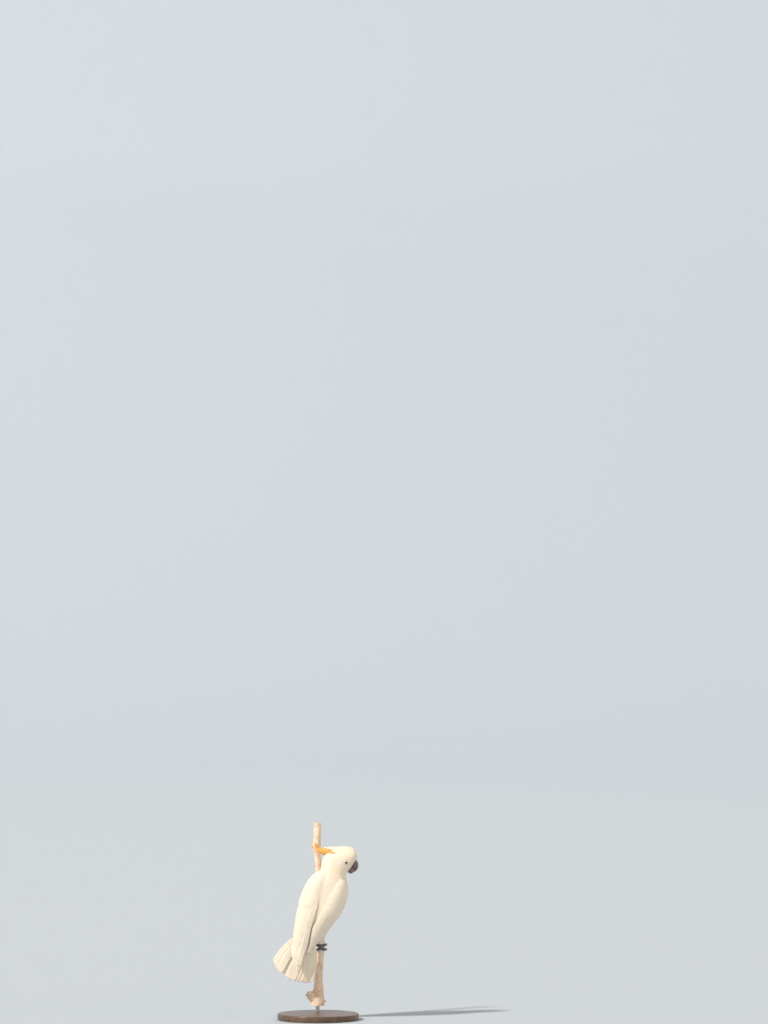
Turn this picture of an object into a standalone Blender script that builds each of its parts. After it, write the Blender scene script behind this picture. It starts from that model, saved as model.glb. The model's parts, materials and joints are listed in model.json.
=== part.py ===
"""Citron-crested cockatoo, life size, clinging to a dead upright stem on a display stand.

Frame: metres, +Z up, origin at the centre of the stand's underside. The bird's belly faces -Y, its
back +Y, its left side +X. Its head is turned to its right, so the bill points to -X.
Lengths below are in millimetres and angles in degrees; build() scales them to metres.
"""

import math

import bmesh
import bpy
import numpy as np
from mathutils import Vector

MM = 0.001
GAP = 0.4                    # air left between neighbouring pieces

# Stand
BASE_RADIUS = 88.0
BASE_THICK = 14.0
BASE_EDGE = 2.5
ROD_RADIUS = 4.5
PERCH_FOOT_Z = 28.0          # cut lower end of the stem
PERCH_Y = -34.0              # the stem stands in front of the base's centre, under the bird's belly

# Stem: x, z and radius up the stem; y is PERCH_Y all the way
STEM = [
    (1.5, PERCH_FOOT_Z, 15.0),
    (1.0, 44.0, 14.4),
    (0.4, 60.0, 12.0),
    (-0.6, 82.0, 9.6),
    (-2.0, 110.0, 8.4),
    (-5.0, 140.0, 8.0),
    (-6.0, 165.0, 8.0),
    (-5.4, 190.0, 7.8),
    (-4.0, 230.0, 7.6),
    (-2.4, 280.0, 7.4),
    (-0.6, 330.0, 7.6),
    (2.4, 356.0, 7.4),
    (3.6, 374.0, 9.0),
    (2.4, 392.0, 8.2),
    (1.8, 410.0, 8.4),
    (1.6, 419.0, 7.2),
]
STEM_SIDES = 12
STEM_STEP = 13.0

# Broken side twigs of the stem: root z, direction in x, y and z, length, root radius, tip radius
TWIGS = [
    (40.0, (1.0, 0.12, 0.56), 27.0, 13.5, 6.0),
    (32.0, (-1.0, 0.2, 0.25), 18.5, 4.0, 1.4),
    (369.0, (1.0, 0.1, 0.35), 12.0, 6.0, 3.4),
    (322.0, (-0.9, 0.5, 0.4), 13.0, 4.5, 2.0),
]

# Body axis: it leans LEAN to the bird's right as it goes up, through AXIS_AT
LEAN = 21.5
AXIS_X, AXIS_Z = -10.8, 260.0
UP_X, UP_Z = -math.sin(math.radians(LEAN)), math.cos(math.radians(LEAN))

# Trunk sections along that axis: place, sideways shift, y behind the stem, half width, back, belly
TRUNK = [
    (-172.0, 0.0, 41.0, 18.0, 4.5, 4.0),
    (-150.0, 1.0, 43.0, 20.0, 6.0, 5.0),
    (-128.0, 2.0, 46.0, 21.5, 8.0, 7.0),
    (-112.0, 2.6, 48.5, 22.5, 10.0, 10.0),
    (-98.0, 3.0, 51.5, 25.0, 14.0, 16.0),
    (-78.0, 3.3, 54.5, 29.5, 20.0, 24.0),
    (-50.0, 3.0, 58.0, 36.0, 27.0, 34.0),
    (-20.0, 1.2, 61.0, 41.0, 31.0, 42.0),
    (10.0, 0.0, 62.5, 42.5, 32.5, 46.0),
    (35.0, -0.6, 64.5, 39.5, 31.5, 43.0),
    (52.0, -1.0, 65.5, 34.0, 29.5, 37.0),
    (64.0, -1.0, 66.0, 30.0, 27.5, 31.0),
]
NECK_BASE = 62.0
COVERTS_FROM, COVERTS_END = -106.0, -127.0    # the rump tapers over and under the tail's root
COVERTS_TIP = 0.3            # what is left of the section at their end

# Neck and head sections: the throat-side and crown-side points in x and z, then the half depth in y
HEAD = [
    ((-60.5, 310.0), (-4.5, 331.0), 27.5),
    ((-61.2, 315.0), (-8.0, 343.0), 26.0),
    ((-62.5, 318.0), (-11.5, 353.0), 25.0),
    ((-63.4, 319.8), (-18.5, 361.5), 24.3),
    ((-64.0, 321.0), (-31.0, 367.5), 23.6),
    ((-64.6, 322.0), (-47.0, 370.6), 22.6),
    ((-65.2, 322.6), (-62.5, 371.2), 21.2),
    ((-65.8, 323.0), (-76.0, 368.0), 18.8),
    ((-66.4, 323.6), (-83.4, 360.4), 15.4),
    ((-67.2, 324.6), (-84.2, 351.2), 11.2),
]
HEAD_Y = 66.0
HEAD_FROM = 1.0              # place in HEAD where the neck ends and the head begins
FULLNESS = 2.25              # exponent of the sections; 2 is an ellipse

EYE_AT = (-60.0, 341.5)
EYE_RADIUS = 4.8
EYE_STANDS_OUT = 1.1         # how far the cornea stands past the head's side

# Bill: culmen-side point and cutting-edge point, then the half width
BILL_UPPER = [
    ((-79.4, 349.6), (-68.6, 332.6), 9.3),
    ((-84.0, 345.2), (-73.2, 331.4), 9.0),
    ((-86.6, 339.6), (-76.0, 330.0), 8.0),
    ((-87.0, 334.0), (-77.6, 328.0), 6.6),
    ((-85.6, 328.6), (-78.0, 325.6), 4.8),
    ((-82.8, 324.2), (-78.2, 323.2), 2.8),
    ((-79.0, 320.6), (-77.8, 321.2), 0.9),
]
BILL_LOWER = [
    ((-68.4, 335.0), (-64.0, 320.4), 7.4),
    ((-72.4, 334.0), (-67.4, 317.6), 7.1),
    ((-76.0, 332.0), (-71.4, 316.8), 6.2),
    ((-79.0, 329.0), (-74.8, 318.4), 4.6),
    ((-80.4, 325.4), (-77.0, 320.8), 2.6),
]

# Folded crest: x, z, half height and half width from the forehead back to the upturned tip
CREST = [
    (-80.5, 367.0, 2.0, 7.0),
    (-74.0, 370.0, 3.6, 10.0),
    (-62.0, 371.6, 4.4, 11.5),
    (-46.0, 370.8, 4.8, 12.0),
    (-34.0, 369.2, 5.8, 11.0),
    (-22.0, 366.6, 8.4, 9.5),
    (-12.5, 366.2, 8.4, 8.2),
    (-4.0, 369.2, 6.8, 6.8),
    (1.2, 373.8, 5.2, 5.2),
    (4.4, 378.8, 3.2, 3.4),
    (6.2, 383.2, 1.0, 1.2),
]

WING_GAP = 0.8               # air between a wing and the body; both are faceted

# Wing shell along the body axis: place, back edge and belly edge as section angles (90 is the
# middle of the back, 0 the side, -90 the belly), then the inner and outer offset from the trunk
WING = {
    "left": [
        (61.0, 54.0, 28.0, WING_GAP, 1.8),
        (56.0, 61.0, 12.0, WING_GAP, 4.6),
        (46.0, 69.0, -6.0, WING_GAP, 6.6),
        (30.0, 74.5, -18.0, WING_GAP, 7.4),
        (8.0, 80.0, -25.0, WING_GAP, 7.4),
        (-20.0, 84.5, -24.0, WING_GAP, 7.2),
        (-45.0, 88.5, -18.0, WING_GAP, 7.0),
        (-68.0, 92.0, -9.0, 2.8, 7.0),
        (-90.0, 99.0, 2.0, 3.8, 6.8),
        (-106.0, 105.0, 16.0, 3.8, 6.4),
        (-120.0, 107.0, 44.0, 3.8, 5.8),
        (-132.0, 108.0, 78.0, 4.0, 5.2),
    ],
    "right": [
        (61.0, 58.0, 28.0, WING_GAP, 1.8),
        (56.0, 66.0, 12.0, WING_GAP, 4.6),
        (46.0, 72.0, -6.0, WING_GAP, 6.6),
        (30.0, 77.0, -18.0, WING_GAP, 7.4),
        (8.0, 81.5, -25.0, WING_GAP, 7.6),
        (-20.0, 84.0, -24.0, WING_GAP, 7.6),
        (-45.0, 85.0, -16.0, WING_GAP, 7.4),
        (-66.0, 83.5, 0.0, 2.8, 7.0),
        (-80.0, 78.0, 16.0, 3.8, 6.8),
        (-92.0, 71.0, 32.0, 3.8, 6.2),
        (-103.0, 65.0, 43.0, 3.8, 5.6),
        (-111.0, 60.0, 52.0, 4.0, 5.0),
    ],
}
PRIMARIES = {
    "left": [
        (-84.0, 80.0, 2.0, WING_GAP, 2.3),
        (-100.0, 92.0, 2.0, WING_GAP, 2.7),
        (-121.0, 101.0, 10.0, 1.2, 3.1),
        (-138.0, 108.0, 44.0, 1.6, 3.2),
        (-150.0, 112.0, 72.0, 1.8, 3.0),
        (-160.0, 114.5, 96.0, 1.8, 2.8),
        (-167.5, 116.0, 112.0, 1.8, 2.6),
    ],
    "right": [
        (-70.0, 74.0, 14.0, WING_GAP, 2.4),
        (-84.0, 71.0, 24.0, WING_GAP, 2.8),
        (-98.0, 66.0, 36.0, 1.2, 3.2),
        (-109.0, 61.0, 44.0, 1.4, 3.2),
        (-118.0, 57.0, 48.0, 1.6, 3.0),
        (-126.0, 54.0, 50.5, 1.8, 2.6),
    ],
}
WING_RIM = 1.3               # thickness at the wing's edges

# Tail fan
RECTRICES = 12
TAIL_PIVOT = -78.0
TAIL_FROM = 36.0
TAIL_LENGTH = 110.0
TAIL_SHORTER = {"left": 7.5, "right": 0.5}      # how much shorter the outer feathers are
TAIL_OPEN = {"left": 27.5, "right": 26.0}
TAIL_BOW = 0.95              # how much wider the fan opens towards its root
TAIL_THICK = 1.6
TAIL_SCALLOP = 5.0           # depth of the notches between the feathers' tips
TAIL_DROP = 2.0              # how far the outer feathers lie under the middle ones
TAIL_Y = (49.5, 40.5)        # y of its top at the pivot end and at the tips

# Legs: hip and heel places (y behind the stem), and the height where the foot grips
LEGS = {
    "right": {"hip": (-9.0, 38.0, 207.0), "ankle": (-4.0, 29.0, 163.0), "grip": 154.0, "turn": -1},
    "left": {"hip": (21.0, 38.0, 222.0), "ankle": (14.0, 25.0, 193.0), "grip": 190.0, "turn": 1},
}
THIGH_RADII = (6.0, 12.5, 13.5, 10.5, 7.2, 4.8)
TARSUS_RADIUS = 3.7
PALM_RADIUS = 5.0
TOE_ROOT, TOE_END = 3.2, 2.2
# Toes: side of the stem, height above the palm, sweep round the stem
TOES = {"1": (-1, -4.2, 88.0), "2": (1, 4.4, 108.0), "3": (1, -4.0, 138.0), "4": (-1, 4.2, 128.0)}
CLAW_SWEEP = 34.0
CLAW_ROOT, CLAW_TIP = 1.7, 0.35

COLOURS = {
    "white": ((0.93, 0.90, 0.82), 0.75),
    "citron": ((0.93, 0.50, 0.10), 0.75),
    "horn": ((0.05, 0.047, 0.055), 0.35),
    "grey_skin": ((0.10, 0.10, 0.11), 0.6),
    "eye": ((0.02, 0.012, 0.008), 0.08),
    "bark": ((0.48, 0.34, 0.24), 0.85),
    "base": ((0.13, 0.09, 0.06), 0.4),
    "steel": ((0.6, 0.6, 0.6), 0.3),
}


# ---------------------------------------------------------------- helpers

def material(name):
    found = bpy.data.materials.get(name)
    if found:
        return found
    colour, roughness = COLOURS[name]
    made = bpy.data.materials.new(name)
    made.use_nodes = True
    shader = made.node_tree.nodes["Principled BSDF"]
    shader.inputs["Base Color"].default_value = (*colour, 1)
    shader.inputs["Roughness"].default_value = roughness
    shader.inputs["Metallic"].default_value = 1.0 if name == "steel" else 0.0
    return made


def finish(obj, look, parts, smooth_below=40.0):
    """Gives an object its material, collection and shading."""
    for old in list(obj.users_collection):
        old.objects.unlink(obj)
    parts.objects.link(obj)
    obj.data.materials.clear()
    obj.data.materials.append(material(look))
    obj.data.shade_smooth()
    obj.data.set_sharp_from_angle(angle=math.radians(smooth_below))
    return obj


def smooth_rows(rows, place):
    """Row at a fractional place in a list of number rows, on a Catmull-Rom curve through them."""
    rows = np.asarray(rows, float)
    place = min(max(place, 0.0), len(rows) - 1.0)
    i = min(int(place), len(rows) - 2)
    t = place - i
    before = rows[i - 1] if i > 0 else 2 * rows[i] - rows[i + 1]
    after = rows[i + 2] if i + 2 < len(rows) else 2 * rows[i + 1] - rows[i]
    a, b = rows[i], rows[i + 1]
    return 0.5 * (2 * a + (b - before) * t + (2 * before - 5 * a + 4 * b - after) * t * t
                  + (3 * a - before - 3 * b + after) * t ** 3)


def row_at(rows, value):
    """Like smooth_rows, at the place where the first column has this value."""
    first = np.asarray(rows, float)[:, 0]
    order = np.arange(len(first))
    if first[0] > first[-1]:
        return smooth_rows(rows, float(np.interp(-value, -first, order)))
    return smooth_rows(rows, float(np.interp(value, first, order)))


def mesh_object(name, points, faces):
    mesh = bpy.data.meshes.new(name)
    mesh.from_pydata([Vector(p) * MM for p in points], [], faces)
    mesh.validate()
    made = bmesh.new()
    made.from_mesh(mesh)
    bmesh.ops.recalc_face_normals(made, faces=made.faces)
    made.to_mesh(mesh)
    made.free()
    obj = bpy.data.objects.new(name, mesh)
    bpy.context.scene.collection.objects.link(obj)
    return obj


def loft(name, rings):
    """Closed solid through rings of equally many points, with flat ends."""
    n = len(rings[0])
    points = [p for ring in rings for p in ring]
    faces = [tuple(range(n)), tuple(range(len(points) - n, len(points)))]
    for k in range(len(rings) - 1):
        for i in range(n):
            j = (i + 1) % n
            faces.append((k * n + i, k * n + j, (k + 1) * n + j, (k + 1) * n + i))
    return mesh_object(name, points, faces)


def section_point(centre, side, half, back, belly, angle, fullness=FULLNESS):
    """Point of a rounded section. side is its sideways axis; its other axis is y."""
    c, s = math.cos(math.radians(angle)), math.sin(math.radians(angle))
    power = 2 / fullness
    along = math.copysign(abs(c) ** power, c) * half
    deep = math.copysign(abs(s) ** power, s) * (back if s > 0 else belly)
    return np.array(centre) + along * np.array(side) + np.array([0, deep, 0])


def section_ring(centre, side, half, back, belly, sides, fullness=FULLNESS):
    return [section_point(centre, side, half, back, belly, 360 * i / sides, fullness)
            for i in range(sides)]


def combine(target, other, operation):
    """Applies a Boolean of other on target, then removes other."""
    modifier = target.modifiers.new(operation.lower(), "BOOLEAN")
    modifier.operation = operation
    modifier.object = other
    bpy.context.view_layer.update()
    graph = bpy.context.evaluated_depsgraph_get()
    mesh = bpy.data.meshes.new_from_object(target.evaluated_get(graph))
    target.modifiers.clear()
    target.data = mesh
    bpy.data.objects.remove(other)
    return target


def tube(name, points, radii, resolution):
    """Tapered round bar: a bevelled curve with filled caps, made a mesh. It has 4 sides plus 2
    for each step of resolution."""
    curve = bpy.data.curves.new(name, "CURVE")
    curve.dimensions = "3D"
    curve.bevel_depth = MM
    curve.bevel_resolution = resolution
    curve.use_fill_caps = True
    spline = curve.splines.new("POLY")
    spline.points.add(len(points) - 1)
    for place, point, radius in zip(spline.points, points, radii):
        place.co = (*(Vector(point) * MM), 1)
        place.radius = radius
    guide = bpy.data.objects.new(name, curve)
    bpy.context.scene.collection.objects.link(guide)
    bpy.context.view_layer.update()
    graph = bpy.context.evaluated_depsgraph_get()
    mesh = bpy.data.meshes.new_from_object(guide.evaluated_get(graph))
    bpy.data.objects.remove(guide)
    bpy.data.curves.remove(curve)
    welded = bmesh.new()
    welded.from_mesh(mesh)
    bmesh.ops.remove_doubles(welded, verts=welded.verts, dist=0.01 * MM)
    bmesh.ops.recalc_face_normals(welded, faces=welded.faces)
    welded.to_mesh(mesh)
    welded.free()
    obj = bpy.data.objects.new(name, mesh)
    bpy.context.scene.collection.objects.link(obj)
    return obj


# ---------------------------------------------------------------- trunk, neck and head

def body_place(along, shift):
    """x and z of a point on the leaning body axis, moved sideways towards the bird's left."""
    return (AXIS_X + UP_X * along + UP_Z * shift, AXIS_Z + UP_Z * along - UP_X * shift)


def trunk_section(along, scale=1.0, grow=0.0):
    _, shift, y, *size = row_at(TRUNK, along)
    x, z = body_place(along, shift)
    return (x, y + PERCH_Y, z), (UP_Z, 0.0, -UP_X), *(s * scale + grow for s in size)


def make_trunk(name, sides=22, steps=17, grow=0.0):
    """Trunk from the tail coverts to the root of the neck."""
    rings = []
    for along in np.linspace(COVERTS_END - grow, NECK_BASE - GAP / 2 + grow, steps):
        taper = min(max((COVERTS_FROM - along) / (COVERTS_FROM - COVERTS_END), 0.0), 1.0)
        scale = 1 - (1 - COVERTS_TIP) * taper ** 2
        rings.append(section_ring(*trunk_section(along, scale, grow), sides))
    return loft(name, rings)


def head_section(place, grow=0.0):
    rows = [(*throat, *crown, deep) for throat, crown, deep in HEAD]
    tx, tz, cx, cz, deep = smooth_rows(rows, place)
    throat, crown = np.array([tx, tz]), np.array([cx, cz])
    side = (crown - throat) / np.linalg.norm(crown - throat)
    half = np.linalg.norm(crown - throat) / 2 + grow
    centre = (throat + crown) / 2
    return ((centre[0], HEAD_Y + PERCH_Y, centre[1]), (side[0], 0, side[1]), half,
            deep + grow, deep + grow)


def neck_ring(share, sides):
    """Ring between the trunk's top (share 0) and the head's lower end (share 1)."""
    low = np.array(section_ring(*trunk_section(NECK_BASE + GAP / 2), sides))
    mid = np.array(section_ring(*head_section(0.3), sides))
    high = np.array(section_ring(*head_section(HEAD_FROM - 0.01), sides))
    t = share
    return list(low * (1 - t) ** 2 + 2 * mid * t * (1 - t) + high * t * t)


def make_neck(name, sides=22):
    return loft(name, [neck_ring(t, sides) for t in np.linspace(0, 1, 5)])


def make_head(name, grow=0.0, sides=24):
    """Head from the neck's top to the root of the bill, with the bill's side closed flat."""
    places = np.linspace(HEAD_FROM + 0.02, len(HEAD) - 1, 13)
    rings = [section_ring(*head_section(p, grow), sides) for p in places]
    return loft(name, rings)


def eye_place(side):
    """Centre of an eyeball: side is 1 for the bird's right eye, which faces +y."""
    x, z = EYE_AT
    best = min(np.linspace(HEAD_FROM, len(HEAD) - 1, 200),
               key=lambda p: abs(off_plane(p, x, z)))
    centre, axis, half, deep, _ = head_section(best)
    share = ((x - centre[0]) * axis[0] + (z - centre[2]) * axis[2]) / half
    surface = deep * (1 - abs(share) ** FULLNESS) ** (1 / FULLNESS)
    return (x, HEAD_Y + PERCH_Y + side * (surface + EYE_STANDS_OUT - EYE_RADIUS), z)


def off_plane(place, x, z):
    """Distance of a point in x and z from the plane of a head section."""
    centre, axis, *_ = head_section(place)
    return (x - centre[0]) * -axis[2] + (z - centre[2]) * axis[0]


def make_eye(name, at, radius):
    bpy.ops.mesh.primitive_uv_sphere_add(segments=12, ring_count=7, radius=radius * MM,
                                         location=Vector(at) * MM)
    bpy.context.object.name = name
    return bpy.context.object


def make_bill(name, rows, grow=0.0, sides=12, fullness=2.4, steps=9):
    flat = [(*out, *edge, half) for out, edge, half in rows]
    rings = []
    for place in np.linspace(0, len(rows) - 1, steps):
        ox, oz, ex, ez, half = smooth_rows(flat, place)
        out, edge = np.array([ox, oz]), np.array([ex, ez])
        side = (out - edge) / np.linalg.norm(out - edge)
        centre = (out + edge) / 2
        deep = np.linalg.norm(out - edge) / 2 + grow
        rings.append(section_ring((centre[0], HEAD_Y + PERCH_Y, centre[1]), (side[0], 0, side[1]),
                                  deep, half + grow, half + grow, sides, fullness))
    return loft(name, rings)


def make_crest(name, sides=10, steps=16):
    rings = []
    for place in np.linspace(0, len(CREST) - 1, steps):
        x, z, high, wide = smooth_rows(CREST, place)
        ahead = smooth_rows(CREST, place + 0.1) - smooth_rows(CREST, place - 0.1)
        run = ahead[:2] / np.linalg.norm(ahead[:2])
        rings.append(section_ring((x, HEAD_Y + PERCH_Y, z), (-run[1], 0, run[0]), max(high, 0.5),
                                  max(wide, 0.5), max(wide, 0.5), sides, 2.0))
    return loft(name, rings)


# ---------------------------------------------------------------- wings and tail

def over_trunk(along, angle, offset, mirror):
    """Point at an offset outside the trunk's section, on the left side or mirrored to the right."""
    angle = angle if mirror > 0 else 180 - angle
    centre, side, half, back, belly = trunk_section(along)
    on = section_point(centre, side, half, back, belly, angle)
    c, s = math.cos(math.radians(angle)), math.sin(math.radians(angle))
    out = np.array([c / half * side[0], s / (back if s > 0 else belly), c / half * side[2]])
    return on + out / np.linalg.norm(out) * offset


def wing_shell(name, rows, mirror, across, steps, rim=WING_RIM):
    """Thin shell over the trunk, through the rows' stations; mirror is 1 left and -1 right."""
    rings = []
    for place in np.linspace(0, len(rows) - 1, steps):
        along, back_edge, belly_edge, inner, outer = smooth_rows(rows, place)
        top, under = [], []
        for k in range(across + 1):
            share = k / across
            angle = back_edge + (belly_edge - back_edge) * share
            swell = math.sin(math.pi * share) ** 0.45 if 0 < k < across else 0.0
            top.append(over_trunk(along, angle, inner + rim + (outer - inner - rim) * swell, mirror))
            under.append(over_trunk(along, angle, inner, mirror))
        rings.append(top + under[::-1])
    return loft(name, rings)


def tail_point(turn, reach, rank):
    """Point of the tail fan: turn in degrees towards the bird's left, reach from the pivot, and
    rank from 0 at the middle feathers to 1 at the outermost."""
    share = reach / TAIL_LENGTH
    a = math.radians(turn * (1 + TAIL_BOW * (1 - share)))
    along, shift = TAIL_PIVOT - reach * math.cos(a), 1.5 + reach * math.sin(a)
    x, z = body_place(along, shift)
    y = TAIL_Y[0] + (TAIL_Y[1] - TAIL_Y[0]) * share - TAIL_DROP * rank - TAIL_THICK / 2
    return (x, y + PERCH_Y, z)


def make_tail(name):
    """Fan of twelve feathers with round tips: an open surface, thickened downwards."""
    steps = 3
    columns = RECTRICES * steps
    rows = np.linspace(0, 1, 5) ** 0.8
    points = []
    for c in range(columns + 1):
        feather = c / steps - RECTRICES / 2
        rank = abs(feather) / (RECTRICES / 2)
        side = "left" if feather > 0 else "right"
        turn = TAIL_OPEN[side] * feather / (RECTRICES / 2)
        bow = math.sin(math.pi * (c % steps) / steps) ** 0.5
        tip = TAIL_LENGTH - TAIL_SHORTER[side] * rank ** 2 - TAIL_SCALLOP * (1 - bow)
        points += [tail_point(turn, TAIL_FROM + (tip - TAIL_FROM) * r, rank) for r in rows]
    n = len(rows)
    faces = [(c * n + r, c * n + n + r, c * n + n + r + 1, c * n + r + 1)
             for c in range(columns) for r in range(n - 1)]
    obj = mesh_object(name, points, faces)
    shell = obj.modifiers.new("thickness", "SOLIDIFY")
    shell.thickness = TAIL_THICK * MM
    shell.offset = 0.0
    return obj


# ---------------------------------------------------------------- legs and feet

def stem_at(z):
    rows = [(h, x, r) for x, h, r in STEM]
    _, x, radius = row_at(rows, z)
    return x, radius


def thigh_points(leg):
    """Points from the hip, under the flank feathers, down to the heel, one for each radius."""
    hip, ankle = np.array(LEGS[leg]["hip"]), np.array(LEGS[leg]["ankle"])
    behind = np.array([0, PERCH_Y, 0])
    return [hip + (ankle - hip) * t + behind + np.array([0, 2.0 * math.sin(math.pi * t), 0])
            for t in (0.0, 0.1, 0.3, 0.55, 0.8, 1.0)]


def make_thigh(name, leg, grow=0.0):
    points = thigh_points(leg)
    last = points[-1] - points[-2]
    points[-1] = points[-1] + last / np.linalg.norm(last) * grow
    radii = [r + grow for r in THIGH_RADII]
    return tube(name, points, radii, 4)


def round_stem(z, degrees, reach):
    """Point beside the stem at a height; 0 degrees faces the bird, growing towards -x."""
    x, radius = stem_at(z)
    a = math.radians(degrees)
    return np.array([x - (radius + reach) * math.sin(a), PERCH_Y + (radius + reach) * math.cos(a), z])


def toe_path(leg, toe, start, stop, steps):
    """Centre line and radii of a toe, between two sweep angles round the stem."""
    grip, turn = LEGS[leg]["grip"], LEGS[leg]["turn"]
    side, lift, sweep = TOES[toe]
    points, radii = [], []
    for a in np.linspace(start, stop, steps):
        share = min(a / sweep, 1.0)
        knuckle = 0.22 * math.cos(3 * 2 * math.pi * share)
        radius = TOE_ROOT + (TOE_END - TOE_ROOT) * share + knuckle * (1 - share)
        rise = lift * min(1.0, a / 35) + 1.6 * share * np.sign(lift)
        points.append(round_stem(grip + rise, -turn * side * a, GAP + radius))
        radii.append(radius)
    return points, radii


def make_foot(name, leg):
    """Scaly lower leg, palm and four toes in one piece, gripping the stem."""
    grip = LEGS[leg]["grip"]
    ankle = np.array(LEGS[leg]["ankle"]) + np.array([0, PERCH_Y, 0])
    palm = round_stem(grip, 0, GAP + PALM_RADIUS)
    shank = [ankle * (1 - t) + palm * t for t in np.linspace(0, 1, 5)]
    foot = tube(name, shank, [TARSUS_RADIUS * (1.12 - 0.12 * math.sin(math.pi * t))
                              for t in np.linspace(0, 1, 5)], 2)
    bpy.ops.mesh.primitive_uv_sphere_add(segments=10, ring_count=7, radius=PALM_RADIUS * MM,
                                         location=Vector(palm) * MM)
    foot = combine(foot, bpy.context.object, "UNION")
    for toe, (_, _, sweep) in TOES.items():
        points, radii = toe_path(leg, toe, 6.0, sweep, 8)
        foot = combine(foot, tube("toe", points, radii, 1), "UNION")
    return combine(foot, make_thigh("cutter", leg, GAP), "DIFFERENCE")


def make_claw(name, leg, toe):
    """Curved claw past the end of a toe, its point at the bark."""
    grip, turn = LEGS[leg]["grip"], LEGS[leg]["turn"]
    side, lift, sweep = TOES[toe]
    points, radii = [], []
    rise = lift + 1.6 * np.sign(lift)
    for t in np.linspace(0, 1, 5):
        radius = CLAW_ROOT + (CLAW_TIP - CLAW_ROOT) * t
        reach = GAP + radius + 1.4 * math.sin(math.pi * (0.25 + 0.75 * t)) * (1 - 0.3 * t)
        angle = sweep + 3.2 + CLAW_SWEEP * t
        points.append(round_stem(grip + rise, -turn * side * angle, reach))
        radii.append(radius)
    return tube(name, points, radii, 1)


# ---------------------------------------------------------------- stem and stand

def stem_wobble(angle, z):
    """Small ridges and dents of the bark's surface, as a share of the radius."""
    calm = 1.0 - math.exp(-((z - 162.0) / 26.0) ** 2)
    return calm * (0.05 * math.sin(3 * angle + z * 0.045) + 0.035 * math.sin(5 * angle - z * 0.11))


def make_perch(name):
    """Dead stem with broken side twigs, one piece of wood."""
    heights = np.arange(STEM[0][1], STEM[-1][1], STEM_STEP)
    heights = np.append(heights, STEM[-1][1])
    rings = []
    for z in heights:
        x, radius = stem_at(z)
        ring = []
        for k in range(STEM_SIDES):
            a = 2 * math.pi * k / STEM_SIDES
            r = radius * (1 + stem_wobble(a, z))
            slant = 5.0 * math.cos(a + 0.6) if z == heights[-1] else 0.0
            ring.append((x + r * math.cos(a), PERCH_Y + r * math.sin(a), z + slant))
        rings.append(ring)
    stem = loft(name, rings)
    for z, way, length, root, tip in TWIGS:
        way = np.array(way) / np.linalg.norm(way)
        x, _ = stem_at(z)
        start = np.array([x, PERCH_Y, z])
        points = [start + way * length * t + np.array([0, 0, 2.0 * t * t]) for t in (0, 0.4, 0.75, 1)]
        radii = [root, root * 0.85, (root + tip) / 2, tip]
        stem = combine(stem, tube("twig", points, radii, 2), "UNION")
    return stem


def make_base(name):
    bpy.ops.mesh.primitive_cylinder_add(vertices=44, radius=BASE_RADIUS * MM, depth=BASE_THICK * MM,
                                        location=(0, 0, BASE_THICK * MM / 2))
    obj = bpy.context.object
    obj.name = name
    edge = obj.modifiers.new("edge", "BEVEL")
    edge.width = BASE_EDGE * MM
    edge.segments = 2
    edge.limit_method = "ANGLE"
    return obj


def make_rod(name):
    low, high = BASE_THICK + GAP, PERCH_FOOT_Z - GAP
    bpy.ops.mesh.primitive_cylinder_add(vertices=20, radius=ROD_RADIUS * MM, depth=(high - low) * MM,
                                        location=(STEM[0][0] * MM, PERCH_Y * MM, (low + high) / 2 * MM))
    obj = bpy.context.object
    obj.name = name
    return obj


# ---------------------------------------------------------------- the whole model

def build():
    for obj in list(bpy.data.objects):
        bpy.data.objects.remove(obj)
    parts = bpy.data.collections.new("cockatoo")
    bpy.context.scene.collection.children.link(parts)

    finish(make_base("stand_base"), "base", parts)
    finish(make_rod("stand_rod"), "steel", parts)
    finish(make_perch("perch"), "bark", parts)

    trunk = make_trunk("trunk")
    for leg in LEGS:
        trunk = combine(trunk, make_thigh("cutter", leg, GAP), "DIFFERENCE")
    finish(trunk, "white", parts)
    finish(make_neck("neck"), "white", parts)
    head = make_head("head")
    for side in (1, -1):
        head = combine(head, make_eye("socket", eye_place(side), EYE_RADIUS + GAP), "DIFFERENCE")
    finish(head, "white", parts)
    finish(make_eye("eye_right", eye_place(1), EYE_RADIUS), "eye", parts)
    finish(make_eye("eye_left", eye_place(-1), EYE_RADIUS), "eye", parts)
    bill_upper = combine(make_bill("bill_upper", BILL_UPPER), make_head("cutter", GAP), "DIFFERENCE")
    bill_lower = combine(make_bill("bill_lower", BILL_LOWER), make_head("cutter", GAP), "DIFFERENCE")
    bill_lower = combine(bill_lower, make_bill("cutter", BILL_UPPER, GAP), "DIFFERENCE")
    finish(bill_upper, "horn", parts)
    finish(bill_lower, "horn", parts)
    crest = combine(make_crest("crest"), make_head("cutter", GAP), "DIFFERENCE")
    finish(crest, "citron", parts)

    for side, mirror in (("left", 1), ("right", -1)):
        finish(wing_shell(f"wing_{side}", WING[side], mirror, 9, 15), "white", parts)
        finish(wing_shell(f"primaries_{side}", PRIMARIES[side], mirror, 6, 10, 0.9), "white", parts)
    tail = combine(make_tail("tail"), make_trunk("cutter", grow=GAP), "DIFFERENCE")
    finish(tail, "white", parts)

    for leg in LEGS:
        finish(make_thigh(f"thigh_{leg}", leg), "white", parts)
        finish(make_foot(f"foot_{leg}", leg), "grey_skin", parts)
        for toe in TOES:
            finish(make_claw(f"claw_{leg}_{toe}", leg, toe), "horn", parts)


build()
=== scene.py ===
"""Life-size citron-crested cockatoo clinging to a dead stem on a display stand: the looks.

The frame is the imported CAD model. Everything here is laid over it, in the same place and size.
Helpers work in millimetres and degrees, and put() scales to metres. +X is the bird's left, +Y its
back and the side the camera is on, and the bill points to -X.
"""
import json
import math

import bmesh
import bpy
import numpy as np
from mathutils import Matrix, Vector, noise
from mathutils.bvhtree import BVHTree

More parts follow.
